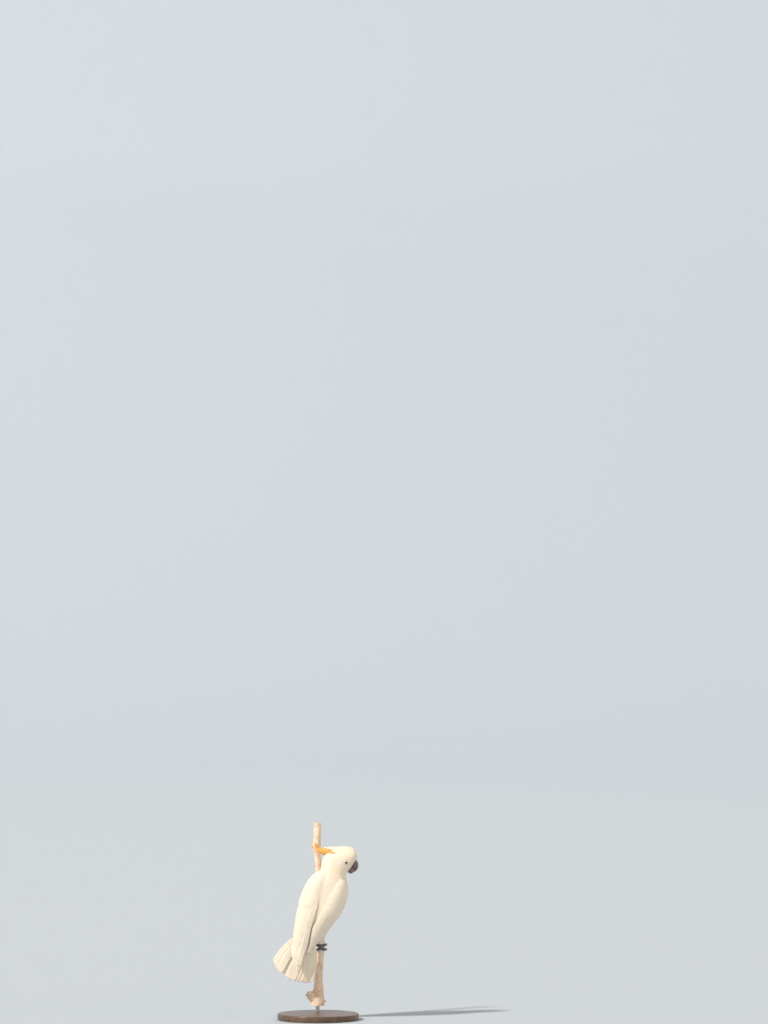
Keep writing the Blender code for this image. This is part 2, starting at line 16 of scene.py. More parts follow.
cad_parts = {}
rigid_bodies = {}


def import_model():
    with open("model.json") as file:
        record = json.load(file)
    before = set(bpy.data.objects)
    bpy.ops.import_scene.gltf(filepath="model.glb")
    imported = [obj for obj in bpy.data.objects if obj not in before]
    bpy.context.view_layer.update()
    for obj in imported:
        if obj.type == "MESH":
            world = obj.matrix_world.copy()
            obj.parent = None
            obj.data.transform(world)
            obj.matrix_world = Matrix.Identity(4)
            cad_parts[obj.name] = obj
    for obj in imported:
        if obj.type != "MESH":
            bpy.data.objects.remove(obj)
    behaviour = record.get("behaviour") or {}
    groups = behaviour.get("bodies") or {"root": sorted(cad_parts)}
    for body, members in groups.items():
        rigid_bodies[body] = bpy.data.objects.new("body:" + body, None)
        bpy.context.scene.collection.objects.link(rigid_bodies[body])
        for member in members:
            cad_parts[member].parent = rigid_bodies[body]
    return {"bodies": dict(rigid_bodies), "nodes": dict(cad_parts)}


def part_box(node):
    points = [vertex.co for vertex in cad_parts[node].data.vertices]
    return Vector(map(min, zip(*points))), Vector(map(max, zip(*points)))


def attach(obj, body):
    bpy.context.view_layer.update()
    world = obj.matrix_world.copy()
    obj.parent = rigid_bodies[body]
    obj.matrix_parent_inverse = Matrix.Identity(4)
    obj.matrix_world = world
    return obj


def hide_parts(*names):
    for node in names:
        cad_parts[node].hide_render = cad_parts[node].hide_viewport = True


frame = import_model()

OWN = set(frame["nodes"].values()) | set(frame["bodies"].values())
for left_over in [o for o in bpy.data.objects if o not in OWN]:
    bpy.data.objects.remove(left_over)
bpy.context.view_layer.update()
MM = 0.001
GOLDEN = 0.618               # its multiples, less their whole part, spread evenly over 0 to 1

# ---- camera, light and stage

MM_PER_PIXEL = 2.15
FRAME_WIDTH, FRAME_HEIGHT = 768, 1024
STEM_PIXEL, FLOOR_PIXEL = 318, 1021      # picture column of x = 0 and row of z = 0 at the bird
CAMERA_AWAY = 12
SENSOR = 36


def add(name, data):
    obj = bpy.data.objects.new(name, data)
    bpy.context.scene.collection.objects.link(obj)
    return obj


def set_camera():
    data = bpy.data.cameras.new("camera")
    data.sensor_width = SENSOR
    data.lens = SENSOR * CAMERA_AWAY / (FRAME_HEIGHT * MM_PER_PIXEL * MM)
    data.clip_end = 60
    camera = add("camera", data)
    camera.location = ((STEM_PIXEL - FRAME_WIDTH / 2) * MM_PER_PIXEL * MM, CAMERA_AWAY + 0.03,
                       (FLOOR_PIXEL - FRAME_HEIGHT / 2) * MM_PER_PIXEL * MM)
    camera.rotation_euler = (math.radians(90), 0, math.radians(180))
    bpy.context.scene.camera = camera


def add_sun(name, toward, energy, colour, spread):
    data = bpy.data.lights.new(name, "SUN")
    data.energy, data.color, data.angle = energy, colour, math.radians(spread)
    lamp = add(name, data)
    lamp.location = Vector(toward)
    lamp.rotation_euler = Vector(toward).to_track_quat("Z", "Y").to_euler()


KEY_TOWARD = np.array([0.598, 0.458, 0.658])
KEY_ENERGY, KEY_COLOUR = 3.25, (1, 0.96, 0.88)
BACKDROP = (0.652, 0.694, 0.723)         # how bright the floor and backdrop look all over
ROUND_LIGHT = (0.75, 0.69, 0.62)         # what reaches them from all round but the key


def set_light():
    add_sun("key", KEY_TOWARD, KEY_ENERGY, KEY_COLOUR, 4)
    add_sun("fill", (-0.8, 0.55, 0.22), 1.75, (1, 0.77, 0.54), 60)
    add_sun("rim", (-0.4, -0.7, 0.6), 0.5, (1, 0.95, 0.9), 40)
    world = bpy.data.worlds.new("studio")
    bpy.context.scene.world = world
    world.use_nodes = True
    shade = world.node_tree.nodes["Background"]
    shade.inputs["Color"].default_value = (1, 0.88, 0.76, 1)
    shade.inputs["Strength"].default_value = 0.55
    bpy.context.scene.view_settings.view_transform = "Standard"
    bpy.context.scene.view_settings.look = "None"


# ---- materials

class Look:
    """A material and short ways to add nodes to it."""

    def __init__(self, name, colour, roughness, **sockets):
        self.material = bpy.data.materials.new(name)
        self.material.use_nodes = True
        self.tree = self.material.node_tree
        self.shader = self.tree.nodes["Principled BSDF"]
        self.colour(colour)
        self.rough(roughness)
        for socket, value in sockets.items():
            self.shader.inputs[socket.replace("_", " ")].default_value = value
        self.place = self.tree.nodes.new("ShaderNodeTexCoord").outputs["Object"]

    def link(self, value, socket):
        if isinstance(value, bpy.types.NodeSocket):
            self.tree.links.new(value, socket)
        else:
            socket.default_value = (*value, 1) if socket.type == "RGBA" else value

    def node(self, kind, inputs, output=0, **settings):
        made = self.tree.nodes.new("ShaderNode" + kind)
        for key, value in settings.items():
            setattr(made, key, value)
        for key, value in inputs.items():
            self.link(value, made.inputs[key])
        return made.outputs[output]

    def math(self, operation, a, b=0, c=0):
        return self.node("Math", {0: a, 1: b, 2: c}, operation=operation)

    def noise(self, scale, detail=3, roughness=0.55, squash=None):
        place = self.place
        if squash:
            place = self.node("Mapping", {"Vector": place, "Scale": squash})
        return self.node("TexNoise", {"Vector": place, "Scale": scale, "Detail": detail,
                                      "Roughness": roughness})

    def cells(self, scale):
        return self.node("TexVoronoi", {"Vector": self.place, "Scale": scale})

    def ramp(self, value, stops):
        """Colour or grey ramp through (place, colour) stops."""
        made = self.node("ValToRGB", {0: value})
        elements = made.node.color_ramp.elements
        while len(elements) < len(stops):
            elements.new(0.5)
        for element, (place, colour) in zip(elements, stops):
            element.position = place
            element.color = (*colour, 1) if isinstance(colour, tuple) else (colour,) * 3 + (1,)
        return made

    def mix(self, share, a, b, blend="MIX"):
        return self.node("Mix", {0: share, 6: a, 7: b}, 2, data_type="RGBA", blend_type=blend)

    def times(self, a, b, share=1):
        return self.mix(share, a, b, "MULTIPLY")

    def spread(self, value, low, high, to_low, to_high):
        return self.node("MapRange", {0: value, 1: low, 2: high, 3: to_low, 4: to_high})

    def attribute(self, name, output="Color"):
        return self.node("Attribute", {}, output, attribute_name=name)

    def colour(self, value):
        self.link(value, self.shader.inputs["Base Color"])

    def rough(self, value):
        self.link(value, self.shader.inputs["Roughness"])

    def bump(self, height, distance):
        """Adds relief this many millimetres deep on top of what is there."""
        last = self.shader.inputs["Normal"]
        inputs = {"Height": height, "Distance": distance * MM}
        if last.links:
            inputs["Normal"] = last.links[0].from_socket
        self.link(self.node("Bump", inputs), last)


BARB = 0.36                  # millimetres from barb to barb
BARB_RELIEF, SHAFT_RELIEF = 0.01, 0.06


def feather_look():
    """Vane with fine slanting barbs; its uv map vane is in centimetres, with the shaft at u = 0."""
    look = Look("white_feather", (0.9, 0.87, 0.78), 0.62, Sheen_Weight=0.18, Sheen_Roughness=0.5,
                Specular_IOR_Level=0.3)
    split = look.node("SeparateXYZ", {0: look.node("UVMap", {}, uv_map="vane")}).node.outputs
    across = look.math("ABSOLUTE", split[0])
    slant = look.math("MULTIPLY_ADD", across, -1.5, split[1])
    slant = look.math("MULTIPLY_ADD", look.noise(260, 2), 0.06, slant)
    barbs = look.math("SINE", look.math("MULTIPLY", slant, 2 * math.pi * 10 / BARB))
    tone = look.ramp(look.noise(90), [(0.25, 0.93), (0.75, 1)])
    tone = look.times(look.attribute("tint"), tone)
    # The barbs darken the colour a little in the troughs between them: painted shade in those grooves.
    # Their relief is the bump below.
    look.colour(look.times(tone, look.spread(barbs, -1, 1, 0.982, 1)))
    look.bump(barbs, BARB_RELIEF)
    look.bump(look.spread(across, 0, 0.06, 1, 0), SHAFT_RELIEF)
    return look.material


def skin_look():
    look = Look("skin", (0.85, 0.8, 0.72), 0.7)
    mottle = look.ramp(look.noise(600), [(0.3, 0.86), (0.7, 1)])
    look.colour(look.times(look.attribute("tint"), mottle))
    look.bump(look.cells(900), 0.25)
    return look.material


def lid_look():
    look = Look("eye_ring", (0.7, 0.62, 0.5), 0.6)
    cells = look.cells(1500)
    look.colour(look.ramp(cells, [(0, (0.66, 0.58, 0.47)), (0.6, (0.76, 0.67, 0.55))]))
    look.bump(cells, 0.12)
    return look.material


def horn_look(name, dark, pale):
    """Bill and claw horn: dull dark keratin with paler worn streaks and fine growth lines."""
    look = Look(name, dark, 0.4, Coat_Weight=0.12, Coat_Roughness=0.35)
    streaks = look.noise(60, 4, squash=(1, 2.2, 6))
    tone = look.ramp(streaks, [(0.36, dark), (0.72, pale)])
    dust = look.ramp(look.noise(420, 4), [(0.5, 0), (0.8, 0.35)])
    look.colour(look.mix(dust, tone, tuple(min(1, c * 1.8) for c in pale)))
    look.rough(look.ramp(look.noise(300), [(0.3, 0.34), (0.7, 0.52)]))
    look.bump(look.noise(220, 3, squash=(1, 1, 5)), 0.1)
    look.bump(look.noise(1500, 2), 0.03)
    return look.material


def eye_look():
    """Very dark brown iris round a black pupil; tint holds them."""
    look = Look("eye", (0.02, 0.012, 0.008), 0.06, Coat_Weight=1, Coat_Roughness=0.02)
    flecks = look.ramp(look.noise(2200), [(0.3, 0.7), (0.7, 1)])
    look.colour(look.times(look.attribute("tint"), flecks))
    return look.material


def foot_look():
    look = Look("foot_skin", (0.13, 0.125, 0.13), 0.6)
    scales = look.cells(820)
    tone = look.ramp(scales, [(0, (0.17, 0.16, 0.165)), (0.45, (0.12, 0.115, 0.12)),
                              (0.75, (0.045, 0.043, 0.047))])
    dust = look.ramp(look.noise(160, 3), [(0.45, 0), (0.75, 0.4)])
    look.colour(look.mix(dust, tone, (0.3, 0.28, 0.26)))
    look.rough(look.ramp(look.noise(500), [(0.3, 0.5), (0.7, 0.7)]))
    look.bump(look.math("MULTIPLY", scales, -1), 0.25)
    return look.material


def bark_look():
    """Dry dead bark with pale blotches, fine upright cracks and lichen. Attribute raw: bare wood."""
    look = Look("bark", (0.5, 0.36, 0.27), 0.85)
    base = look.ramp(look.noise(45, 5, 0.6),
                     [(0.34, (0.74, 0.52, 0.38)), (0.5, (0.93, 0.7, 0.53)), (0.66, (0.97, 0.83, 0.66))])
    blotch = look.ramp(look.noise(70, 3, 0.5, (1, 1, 0.6)), [(0.56, 0), (0.63, 0.85)])
    tone = look.mix(blotch, base, (0.97, 0.84, 0.68))
    cracks = look.ramp(look.noise(420, 4, 0.6, (1, 1, 0.12)), [(0.34, 0), (0.41, 1)])
    wrinkle = look.noise(330, 4, 0.6, squash=(0.35, 0.35, 1.5))
    dark = look.math("MULTIPLY", look.math("SUBTRACT", 1, cracks), 0.6)
    tone = look.mix(dark, tone, (0.42, 0.28, 0.2))
    tone = look.times(tone, look.ramp(wrinkle, [(0.36, 0.78), (0.5, 1)]), 0.7)
    fine = look.noise(1300, 4, 0.7)
    tone = look.times(tone, look.ramp(fine, [(0.3, 0.76), (0.7, 1)]), 0.55)
    lichen = look.ramp(look.noise(85, 4, 0.65), [(0.6, 0), (0.68, 0.5)])
    tone = look.mix(lichen, tone, (0.66, 0.62, 0.48))
    grain = look.noise(700, squash=(1, 1, 0.1))
    wood = look.ramp(grain, [(0.3, (0.45, 0.31, 0.2)), (0.7, (0.72, 0.56, 0.4))])
    look.colour(look.mix(look.attribute("raw", "Fac"), tone, wood))
    look.bump(cracks, 0.2)
    look.bump(wrinkle, 0.35)
    look.bump(look.noise(360, 5, 0.65), 0.4)
    look.bump(fine, 0.1)
    return look.material


def wood_look():
    """Dark stained base, satin, with straight grain."""
    look = Look("stand_wood", (0.14, 0.085, 0.055), 0.36, Coat_Weight=0.25, Coat_Roughness=0.25)
    grain = look.noise(14, 6, 0.6, squash=(1, 14, 3))
    pores = look.noise(120, 3, 0.6, squash=(1, 16, 3))
    tone = look.ramp(grain, [(0.3, (0.075, 0.042, 0.028)), (0.55, (0.14, 0.082, 0.052)),
                             (0.75, (0.2, 0.125, 0.08))])
    look.colour(look.times(tone, look.ramp(pores, [(0.35, 0.5), (0.55, 1)]), 0.6))
    look.rough(look.ramp(pores, [(0.3, 0.5), (0.6, 0.33)]))
    look.bump(pores, 0.05)
    return look.material


def steel_look():
    look = Look("stand_metal", (0.6, 0.6, 0.58), 0.3, Metallic=1)
    brushed = look.noise(500, 2, squash=(1, 1, 20))
    look.rough(look.ramp(brushed, [(0.3, 0.24), (0.7, 0.38)]))
    look.colour(look.ramp(brushed, [(0.3, (0.54, 0.54, 0.53)), (0.7, (0.66, 0.66, 0.64))]))
    look.bump(brushed, 0.01)
    return look.material


def floor_look():
    look = Look("floor", (0.5, 0.5, 0.5), 1, Specular_IOR_Level=0)
    look.colour(look.attribute("tint"))
    return look.material


def put(name, points, faces, material, slot, replaces=(), tint=None, uvs=None, normals=None, raw=None):
    """Mesh piece from points in millimetres and faces of equally many corners, riding on the root."""
    points = np.asarray(points, float).reshape(-1, 3)
    faces = np.asarray(faces, np.int32)
    if name in frame["nodes"]:
        name += "_shape"
    mesh = bpy.data.meshes.new(name)
    mesh.vertices.add(len(points))
    mesh.vertices.foreach_set("co", (points * MM).astype(np.float32).ravel())
    corners = faces.shape[1]
    mesh.loops.add(faces.size)
    mesh.loops.foreach_set("vertex_index", faces.ravel())
    mesh.polygons.add(len(faces))
    mesh.polygons.foreach_set("loop_start", np.arange(0, faces.size, corners, dtype=np.int32))
    mesh.update(calc_edges=True)
    for layer, values in (uvs or {}).items():
        mesh.uv_layers.new(name=layer)
        values = values.reshape(-1, 2)[faces.ravel()]
        mesh.uv_layers[layer].data.foreach_set("uv", values.astype(np.float32).ravel())
    if tint is not None:
        paint(mesh, tint)
    if raw is not None:
        mesh.attributes.new("raw", "FLOAT", "POINT").data.foreach_set("value", raw.astype(np.float32))
    mesh.shade_smooth()
    if normals is not None:
        mesh.normals_split_custom_set_from_vertices(normals.reshape(-1, 3).tolist())
    mesh.materials.append(material)
    return piece(add(name, mesh), replaces)


def piece(obj, replaces=()):
    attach(obj, "root")
    if replaces:
        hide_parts(*replaces)
    return obj


def paint(mesh, tint):
    colours = mesh.attributes.new("tint", "FLOAT_COLOR", "POINT")
    rgba = np.ones((len(mesh.vertices), 4), np.float32)
    rgba[:, :3] = np.reshape(tint, (-1, 3))
    colours.data.foreach_set("color", rgba.ravel())


def grid_faces(rows, cols, count=1, closed=False):
    """Quads of count grids of rows x cols points, one after another; closed joins the last column."""
    r, c = np.meshgrid(np.arange(rows - 1), np.arange(cols if closed else cols - 1), indexing="ij")
    nxt = (c + 1) % cols
    quad = np.stack([r * cols + c, r * cols + nxt, (r + 1) * cols + nxt, (r + 1) * cols + c], -1)
    quad = quad.reshape(-1, 4)
    return (quad[None] + (np.arange(count) * rows * cols)[:, None, None]).reshape(-1, 4)


def turns(sides):
    """Evenly spaced angles, each with its cosine and sine."""
    return [(a, math.cos(a), math.sin(a)) for a in 2 * math.pi * np.arange(sides) / sides]


def unit(v):
    return v / np.maximum(np.linalg.norm(v, axis=-1, keepdims=True), 1e-9)


def step(a, b, x):
    """Smooth step from 0 at a to 1 at b."""
    t = np.clip((np.asarray(x, float) - a) / (b - a), 0, 1)
    return t * t * (3 - 2 * t)


def fade(a, b, x):
    """Smooth step from 1 at a down to 0 at b."""
    return 1 - step(a, b, x)


def smooth_rows(rows, place):
    """Row at a fractional place in a list of number rows, on a Catmull-Rom curve through them."""
    rows = np.asarray(rows, float)
    place = min(max(place, 0), len(rows) - 1)
    i = min(int(place), len(rows) - 2)
    t = place - i
    before = rows[i - 1] if i > 0 else 2 * rows[i] - rows[i + 1]
    after = rows[i + 2] if i + 2 < len(rows) else 2 * rows[i + 1] - rows[i]
    a, b = rows[i], rows[i + 1]
    return 0.5 * (2 * a + (b - before) * t + (2 * before - 5 * a + 4 * b - after) * t * t
                  + (3 * a - before - 3 * b + after) * t ** 3)


def row_at(rows, value):
    first = np.asarray(rows, float)[:, 0]
    order = np.arange(len(first))
    if first[0] > first[-1]:
        return smooth_rows(rows, float(np.interp(-value, -first, order)))
    return smooth_rows(rows, float(np.interp(value, first, order)))


# ---- the bird's frame, as in the CAD

PERCH_Y = -34
HEAD_Y = 32                # the head's middle plane
LEAN = 21.5
AXIS_X, AXIS_Z = -10.8, 260
UP = np.array([-math.sin(math.radians(LEAN)), 0, math.cos(math.radians(LEAN))])
LEFT = np.array([UP[2], 0, -UP[0]])
FULLNESS = 2.25
EYE_AT = (-60, 341.5)
EYE_RADIUS = 4.8

# Trunk sections: place along the axis, sideways shift, y behind the stem, half width, back, belly
TRUNK = [
    (-172, 0, 41, 18, 4.5, 4),
    (-150, 1, 43, 20, 6, 5),
    (-128, 2, 46, 21.5, 8, 7),
    (-112, 2.6, 48.5, 22.5, 10, 10),
    (-98, 3, 51.5, 25, 14, 16),
    (-78, 3.3, 54.5, 29.5, 20, 24),
    (-50, 3, 58, 36, 27, 34),
    (-20, 1.2, 61, 41, 31, 42),
    (10, 0, 62.5, 42.5, 32.5, 46),
    (35, -0.6, 64.5, 39.5, 31.5, 43),
    (52, -1, 65.5, 34, 29.5, 37),
    (64, -1, 66, 30, 27.5, 31),
]

# Wing over the trunk: place, back edge and belly edge as section angles, inner and outer offset
WING = {
    "left": [
        (61, 54, 28, 0.8, 1.8), (56, 61, 12, 0.8, 4.6), (46, 69, -6, 0.8, 6.6),
        (30, 74.5, -18, 0.8, 7.4), (8, 80, -25, 0.8, 7.4), (-20, 84.5, -24, 0.8, 7.2),
        (-45, 88.5, -18, 0.8, 7), (-68, 92, -9, 2.8, 7), (-90, 99, 2, 3.8, 6.8),
        (-106, 105, 16, 3.8, 6.4), (-120, 106, 42, 3.8, 5.8), (-132, 107, 68, 3.8, 5.2),
        (-143, 109, 90, 3.6, 4.6), (-153, 111.5, 106, 3.4, 4),
    ],
    "right": [
        (61, 58, 28, 0.8, 1.8), (56, 66, 12, 0.8, 4.6), (46, 72, -6, 0.8, 6.6),
        (30, 77, -18, 0.8, 7.4), (8, 81.5, -25, 0.8, 7.6), (-20, 84, -24, 0.8, 7.6),
        (-45, 85, -16, 0.8, 7.4), (-66, 83.5, 0, 2.8, 7), (-80, 78, 16, 3.8, 6.8),
        (-92, 71, 30, 3.8, 6.2), (-103, 65, 39, 3.8, 5.6), (-112, 60, 47, 3.6, 5),
        (-119, 57, 52, 3.4, 4.4),
    ],
}
TIP_RISE = {"left": (-72, -166, 7.5), "right": (-58, -126, 7)}   # from, to, and how far
MIRROR = {"left": 1, "right": -1}
PRIMARIES = {
    "left": [
        (-84, 80, 2, 0.8, 2.3), (-100, 92, 2, 0.8, 2.7), (-121, 101, 10, 1.2, 3.1),
        (-138, 108, 44, 1.6, 3.2), (-150, 112, 72, 1.8, 3),
        (-160, 114.5, 96, 1.8, 2.8), (-167.5, 116, 112, 1.8, 2.6),
    ],
    "right": [
        (-70, 74, 14, 0.8, 2.4), (-84, 71, 24, 0.8, 2.8), (-98, 66, 36, 1.2, 3.2),
        (-109, 61, 44, 1.4, 3.2), (-118, 57, 48, 1.6, 3), (-126, 54, 50.5, 1.8, 2.6),
    ],
}


def section_point(centre, side, half, back, belly, angle, fullness=FULLNESS):
    c, s = math.cos(math.radians(angle)), math.sin(math.radians(angle))
    power = 2 / fullness
    along = math.copysign(abs(c) ** power, c) * half
    deep = math.copysign(abs(s) ** power, s) * (back if s > 0 else belly)
    return np.array(centre) + along * np.array(side) + np.array([0, deep, 0])


def beside_axis(along, shift, y):
    """Point at a place along the leaning body axis, shifted to the bird's left and behind the stem."""
    x, z = AXIS_X + UP[0] * along + UP[2] * shift, AXIS_Z + UP[2] * along - UP[0] * shift
    return np.array([x, y + PERCH_Y, z])


def trunk_section(along):
    _, shift, y, half, back, belly = row_at(TRUNK, along)
    return beside_axis(along, shift, y), LEFT, half, back, belly


def over_trunk(along, angle, offset, mirror):
    """Point at an offset outside the trunk's section, on the left side (1) or mirrored (-1)."""
    angle = angle if mirror > 0 else 180 - angle
    centre, side, half, back, belly = trunk_section(along)
    on = section_point(centre, side, half, back, belly, angle)
    c, s = math.cos(math.radians(angle)), math.sin(math.radians(angle))
    out = np.array([c / half * side[0], s / (back if s > 0 else belly), c / half * side[2]])
    return on + unit(out) * offset


def along_body(p):
    """Place along the leaning body axis."""
    return (p[..., 0] - AXIS_X) * UP[0] + (p[..., 2] - AXIS_Z) * UP[2]


def seen_far(p, x, z):
    """How far points are from x and z, seen from the bird's side."""
    return np.hypot(p[:, 0] - x, p[:, 2] - z)


def thigh_share(p, low):
    """1 on the thighs, falling to 0 above the height low and behind."""
    return fade(low, 222, p[:, 2]) * fade(-6, 14, p[:, 1])


def trunk_places(p):
    """Place along the body, section angle (0 left, 90 back, 180 right) and reach, 1 on the trunk."""
    a = along_body(p)
    rows = np.array(TRUNK)
    shift, y, half, back, belly = (np.interp(a, rows[:, 0], rows[:, k]) for k in range(1, 6))
    lateral = (p[:, 0] - AXIS_X) * LEFT[0] + (p[:, 2] - AXIS_Z) * LEFT[2] - shift
    deep = p[:, 1] - y - PERCH_Y
    u, v = lateral / half, deep / np.where(deep > 0, back, belly)
    c, s = np.sign(u) * np.abs(u) ** (FULLNESS / 2), np.sign(v) * np.abs(v) ** (FULLNESS / 2)
    reach = (np.abs(u) ** FULLNESS + np.abs(v) ** FULLNESS) ** (1 / FULLNESS)
    return a, np.degrees(np.arctan2(s, c)) % 360, reach


def on_wing(p, inset):
    """1 where the folded wings lie over the trunk, each side's edges moved in by inset degrees."""
    a, angle, _ = trunk_places(p)
    found = np.zeros(len(p))
    for side in WING:
        rows = np.array(WING[side])[::-1]
        turned = angle if side == "left" else (180 - angle) % 360
        turned = (turned + 180) % 360 - 180
        back, belly = np.interp(a, rows[:, 0], rows[:, 1]), np.interp(a, rows[:, 0], rows[:, 2])
        inside = (a < rows[-1, 0]) & (a > rows[0, 0]) & (turned < back - inset) & (turned > belly + inset)
        found = np.maximum(found, inside)
    return found


def wing_top(side, along, angle):
    """Offset of the folded wing's outer face over the trunk."""
    _, back, belly, inner, outer = row_at(WING[side], along)
    share = min(max((back - angle) / max(back - belly, 1e-6), 0.03), 0.97)
    return inner + 1.3 + (outer - inner - 1.3) * math.sin(math.pi * share) ** 0.45


# ---- markings

WHITE = np.array([0.93, 0.815, 0.665])
CITRON = np.array([0.92, 0.48, 0.125])
EAR = np.array([0.91, 0.77, 0.53])
EAR_AT = (-42, 326.5)


def marking(p):
    """Plumage colour at points on the skin: warm white, with a soft tan patch over each ear."""
    far = np.hypot((p[:, 0] - EAR_AT[0]) / 12, (p[:, 2] - EAR_AT[1]) / 12.5)
    ear = fade(0.55, 1.15, far) * step(12, 18, np.abs(p[:, 1] - HEAD_Y))
    return WHITE + (EAR - WHITE) * (0.45 * ear)[:, None]


# ---- skin

GROW = 0.7                   # the flesh is grown by this to join its nodes, then shrunk back
VOXEL = 1.5                  # size of the skin's cells, in millimetres
FLESH = ("trunk", "neck", "head", "thigh_left", "thigh_right")


def add_node(made, name):
    """Adds a CAD node's shape, grown, to a bmesh in millimetres."""
    part = bmesh.new()
    part.from_mesh(frame["nodes"][name].data)
    bmesh.ops.remove_doubles(part, verts=part.verts, dist=1e-6)
    bmesh.ops.recalc_face_normals(part, faces=part.faces)
    part.normal_update()
    for v in part.verts:
        v.co = v.co / MM + v.normal * GROW
    copy_in(made, [v.co.copy() for v in part.verts], [[v.index for v in f.verts] for f in part.faces])
    part.free()


def copy_in(made, points, faces):
    verts = [made.verts.new(p) for p in points]
    for face in faces:
        made.faces.new([verts[i] for i in face])


def closed(rings):
    """Points and faces of rings joined into a tube with flat ends."""
    n = len(rings[0])
    points = [Vector(p) for ring in rings for p in ring]
    ends = [list(range(n)), list(range(len(points) - 1, len(points) - n - 1, -1))]
    return points, ends + grid_faces(len(rings), n, closed=True).tolist()


def wing_flesh(side):
    """Closed shape of a folded wing's arm and hand, sunk into the trunk."""
    mirror = MIRROR[side]
    rings = []
    for along in np.linspace(57, -70, 24):
        _, back, belly, _, outer = row_at(WING[side], along)
        full = step(-60, -18, along)
        top, under = [], []
        for k in range(15):
            share = 0.03 + 0.94 * k / 14
            swell = math.sin(math.pi * share) ** 0.55
            angle = back + (belly - back) * share
            top.append(over_trunk(along, angle, -1 + (outer + 1) * swell * full + GROW, mirror))
            under.append(over_trunk(along, angle, -6, mirror))
        rings.append(top + under[::-1])
    return closed(rings)


CROWN = [                    # white crown: x, top, half width, widest height, bottom
    (-81, 367.5, 5, 356, 350), (-77.5, 371, 8.5, 358, 350), (-72, 373.9, 11.5, 359, 350),
    (-62, 376, 13.2, 359.5, 352), (-52, 376, 13.4, 360, 354), (-44, 375.6, 12.6, 361, 357),
    (-36, 375.2, 11, 365.5, 363.5), (-28, 375, 9, 369.5, 368), (-20, 374.8, 6.8, 371.6, 370.4),
]


def crown_flesh():
    """Closed shape of the raised crown, sunk into the head, its hind end clear above the crest."""
    rings = []
    for x in np.linspace(-81, -20, 30):
        _, top, wide, middle, low = row_at(CROWN[::-1], x)
        ring = []
        for _, c, si in turns(28):
            high = (top - middle if si > 0 else middle - low) + GROW
            z = middle + high * math.copysign(abs(si) ** 0.92, si)
            ring.append((x, HEAD_Y + (wide + GROW) * c, z))
        rings.append(ring)
    return closed(rings)


def skin_depth(p):
    """How deep the skin lies under the coat's outline."""
    head = step(60, 72, along_body(p))
    face = fade(14, 34, seen_far(p, -74, 338))
    thigh = fade(205, 225, p[:, 2] + 0.6 * p[:, 1])
    return 1.35 - 0.5 * head - 0.3 * face * head - 0.3 * thigh


def make_skin():
    made = bmesh.new()
    for name in FLESH:
        add_node(made, name)
    for side in ("left", "right"):
        copy_in(made, *wing_flesh(side))
    copy_in(made, *crown_flesh())
    bmesh.ops.recalc_face_normals(made, faces=made.faces)
    mesh = bpy.data.meshes.new("skin")
    made.to_mesh(mesh)
    made.free()
    obj = add("skin", mesh)
    remesh = obj.modifiers.new("remesh", "REMESH")
    remesh.mode, remesh.voxel_size = "VOXEL", VOXEL
    smooth(obj, 7)
    p, n = vertex_arrays(obj.data)
    p -= n * (skin_depth(p) + GROW)[:, None]
    obj.data.vertices.foreach_set("co", p.astype(np.float32).ravel())
    smooth(obj, 3)
    obj.data.shade_smooth()
    return obj


def smooth(obj, times):
    """Applies the object's modifiers and then so many rounds of smoothing."""
    modifier = obj.modifiers.new("smooth", "SMOOTH")
    modifier.factor, modifier.iterations = 0.5, times
    bpy.context.view_layer.update()
    mesh = bpy.data.meshes.new_from_object(obj.evaluated_get(bpy.context.evaluated_depsgraph_get()))
    obj.modifiers.clear()
    obj.data = mesh


def read(items, key, width, kind=np.float32):
    """A property of many items as an array of rows."""
    values = np.empty(len(items) * width, kind)
    items.foreach_get(key, values)
    return values.reshape(-1, width)


def vertex_arrays(mesh):
    return [read(mesh.vertices, key, 3).astype(float) for key in ("co", "normal")]


def unwrap(obj):
    """Unwraps the skin's own shape into a uv map named OFBake."""
    obj.data.uv_layers.new(name="OFBake")
    bpy.ops.object.select_all(action="DESELECT")
    obj.select_set(True)
    bpy.context.view_layer.objects.active = obj
    bpy.ops.object.mode_set(mode="EDIT")
    bpy.ops.mesh.select_all(action="SELECT")
    bpy.ops.uv.smart_project(angle_limit=math.radians(66), island_margin=0.004)
    bpy.ops.object.mode_set(mode="OBJECT")


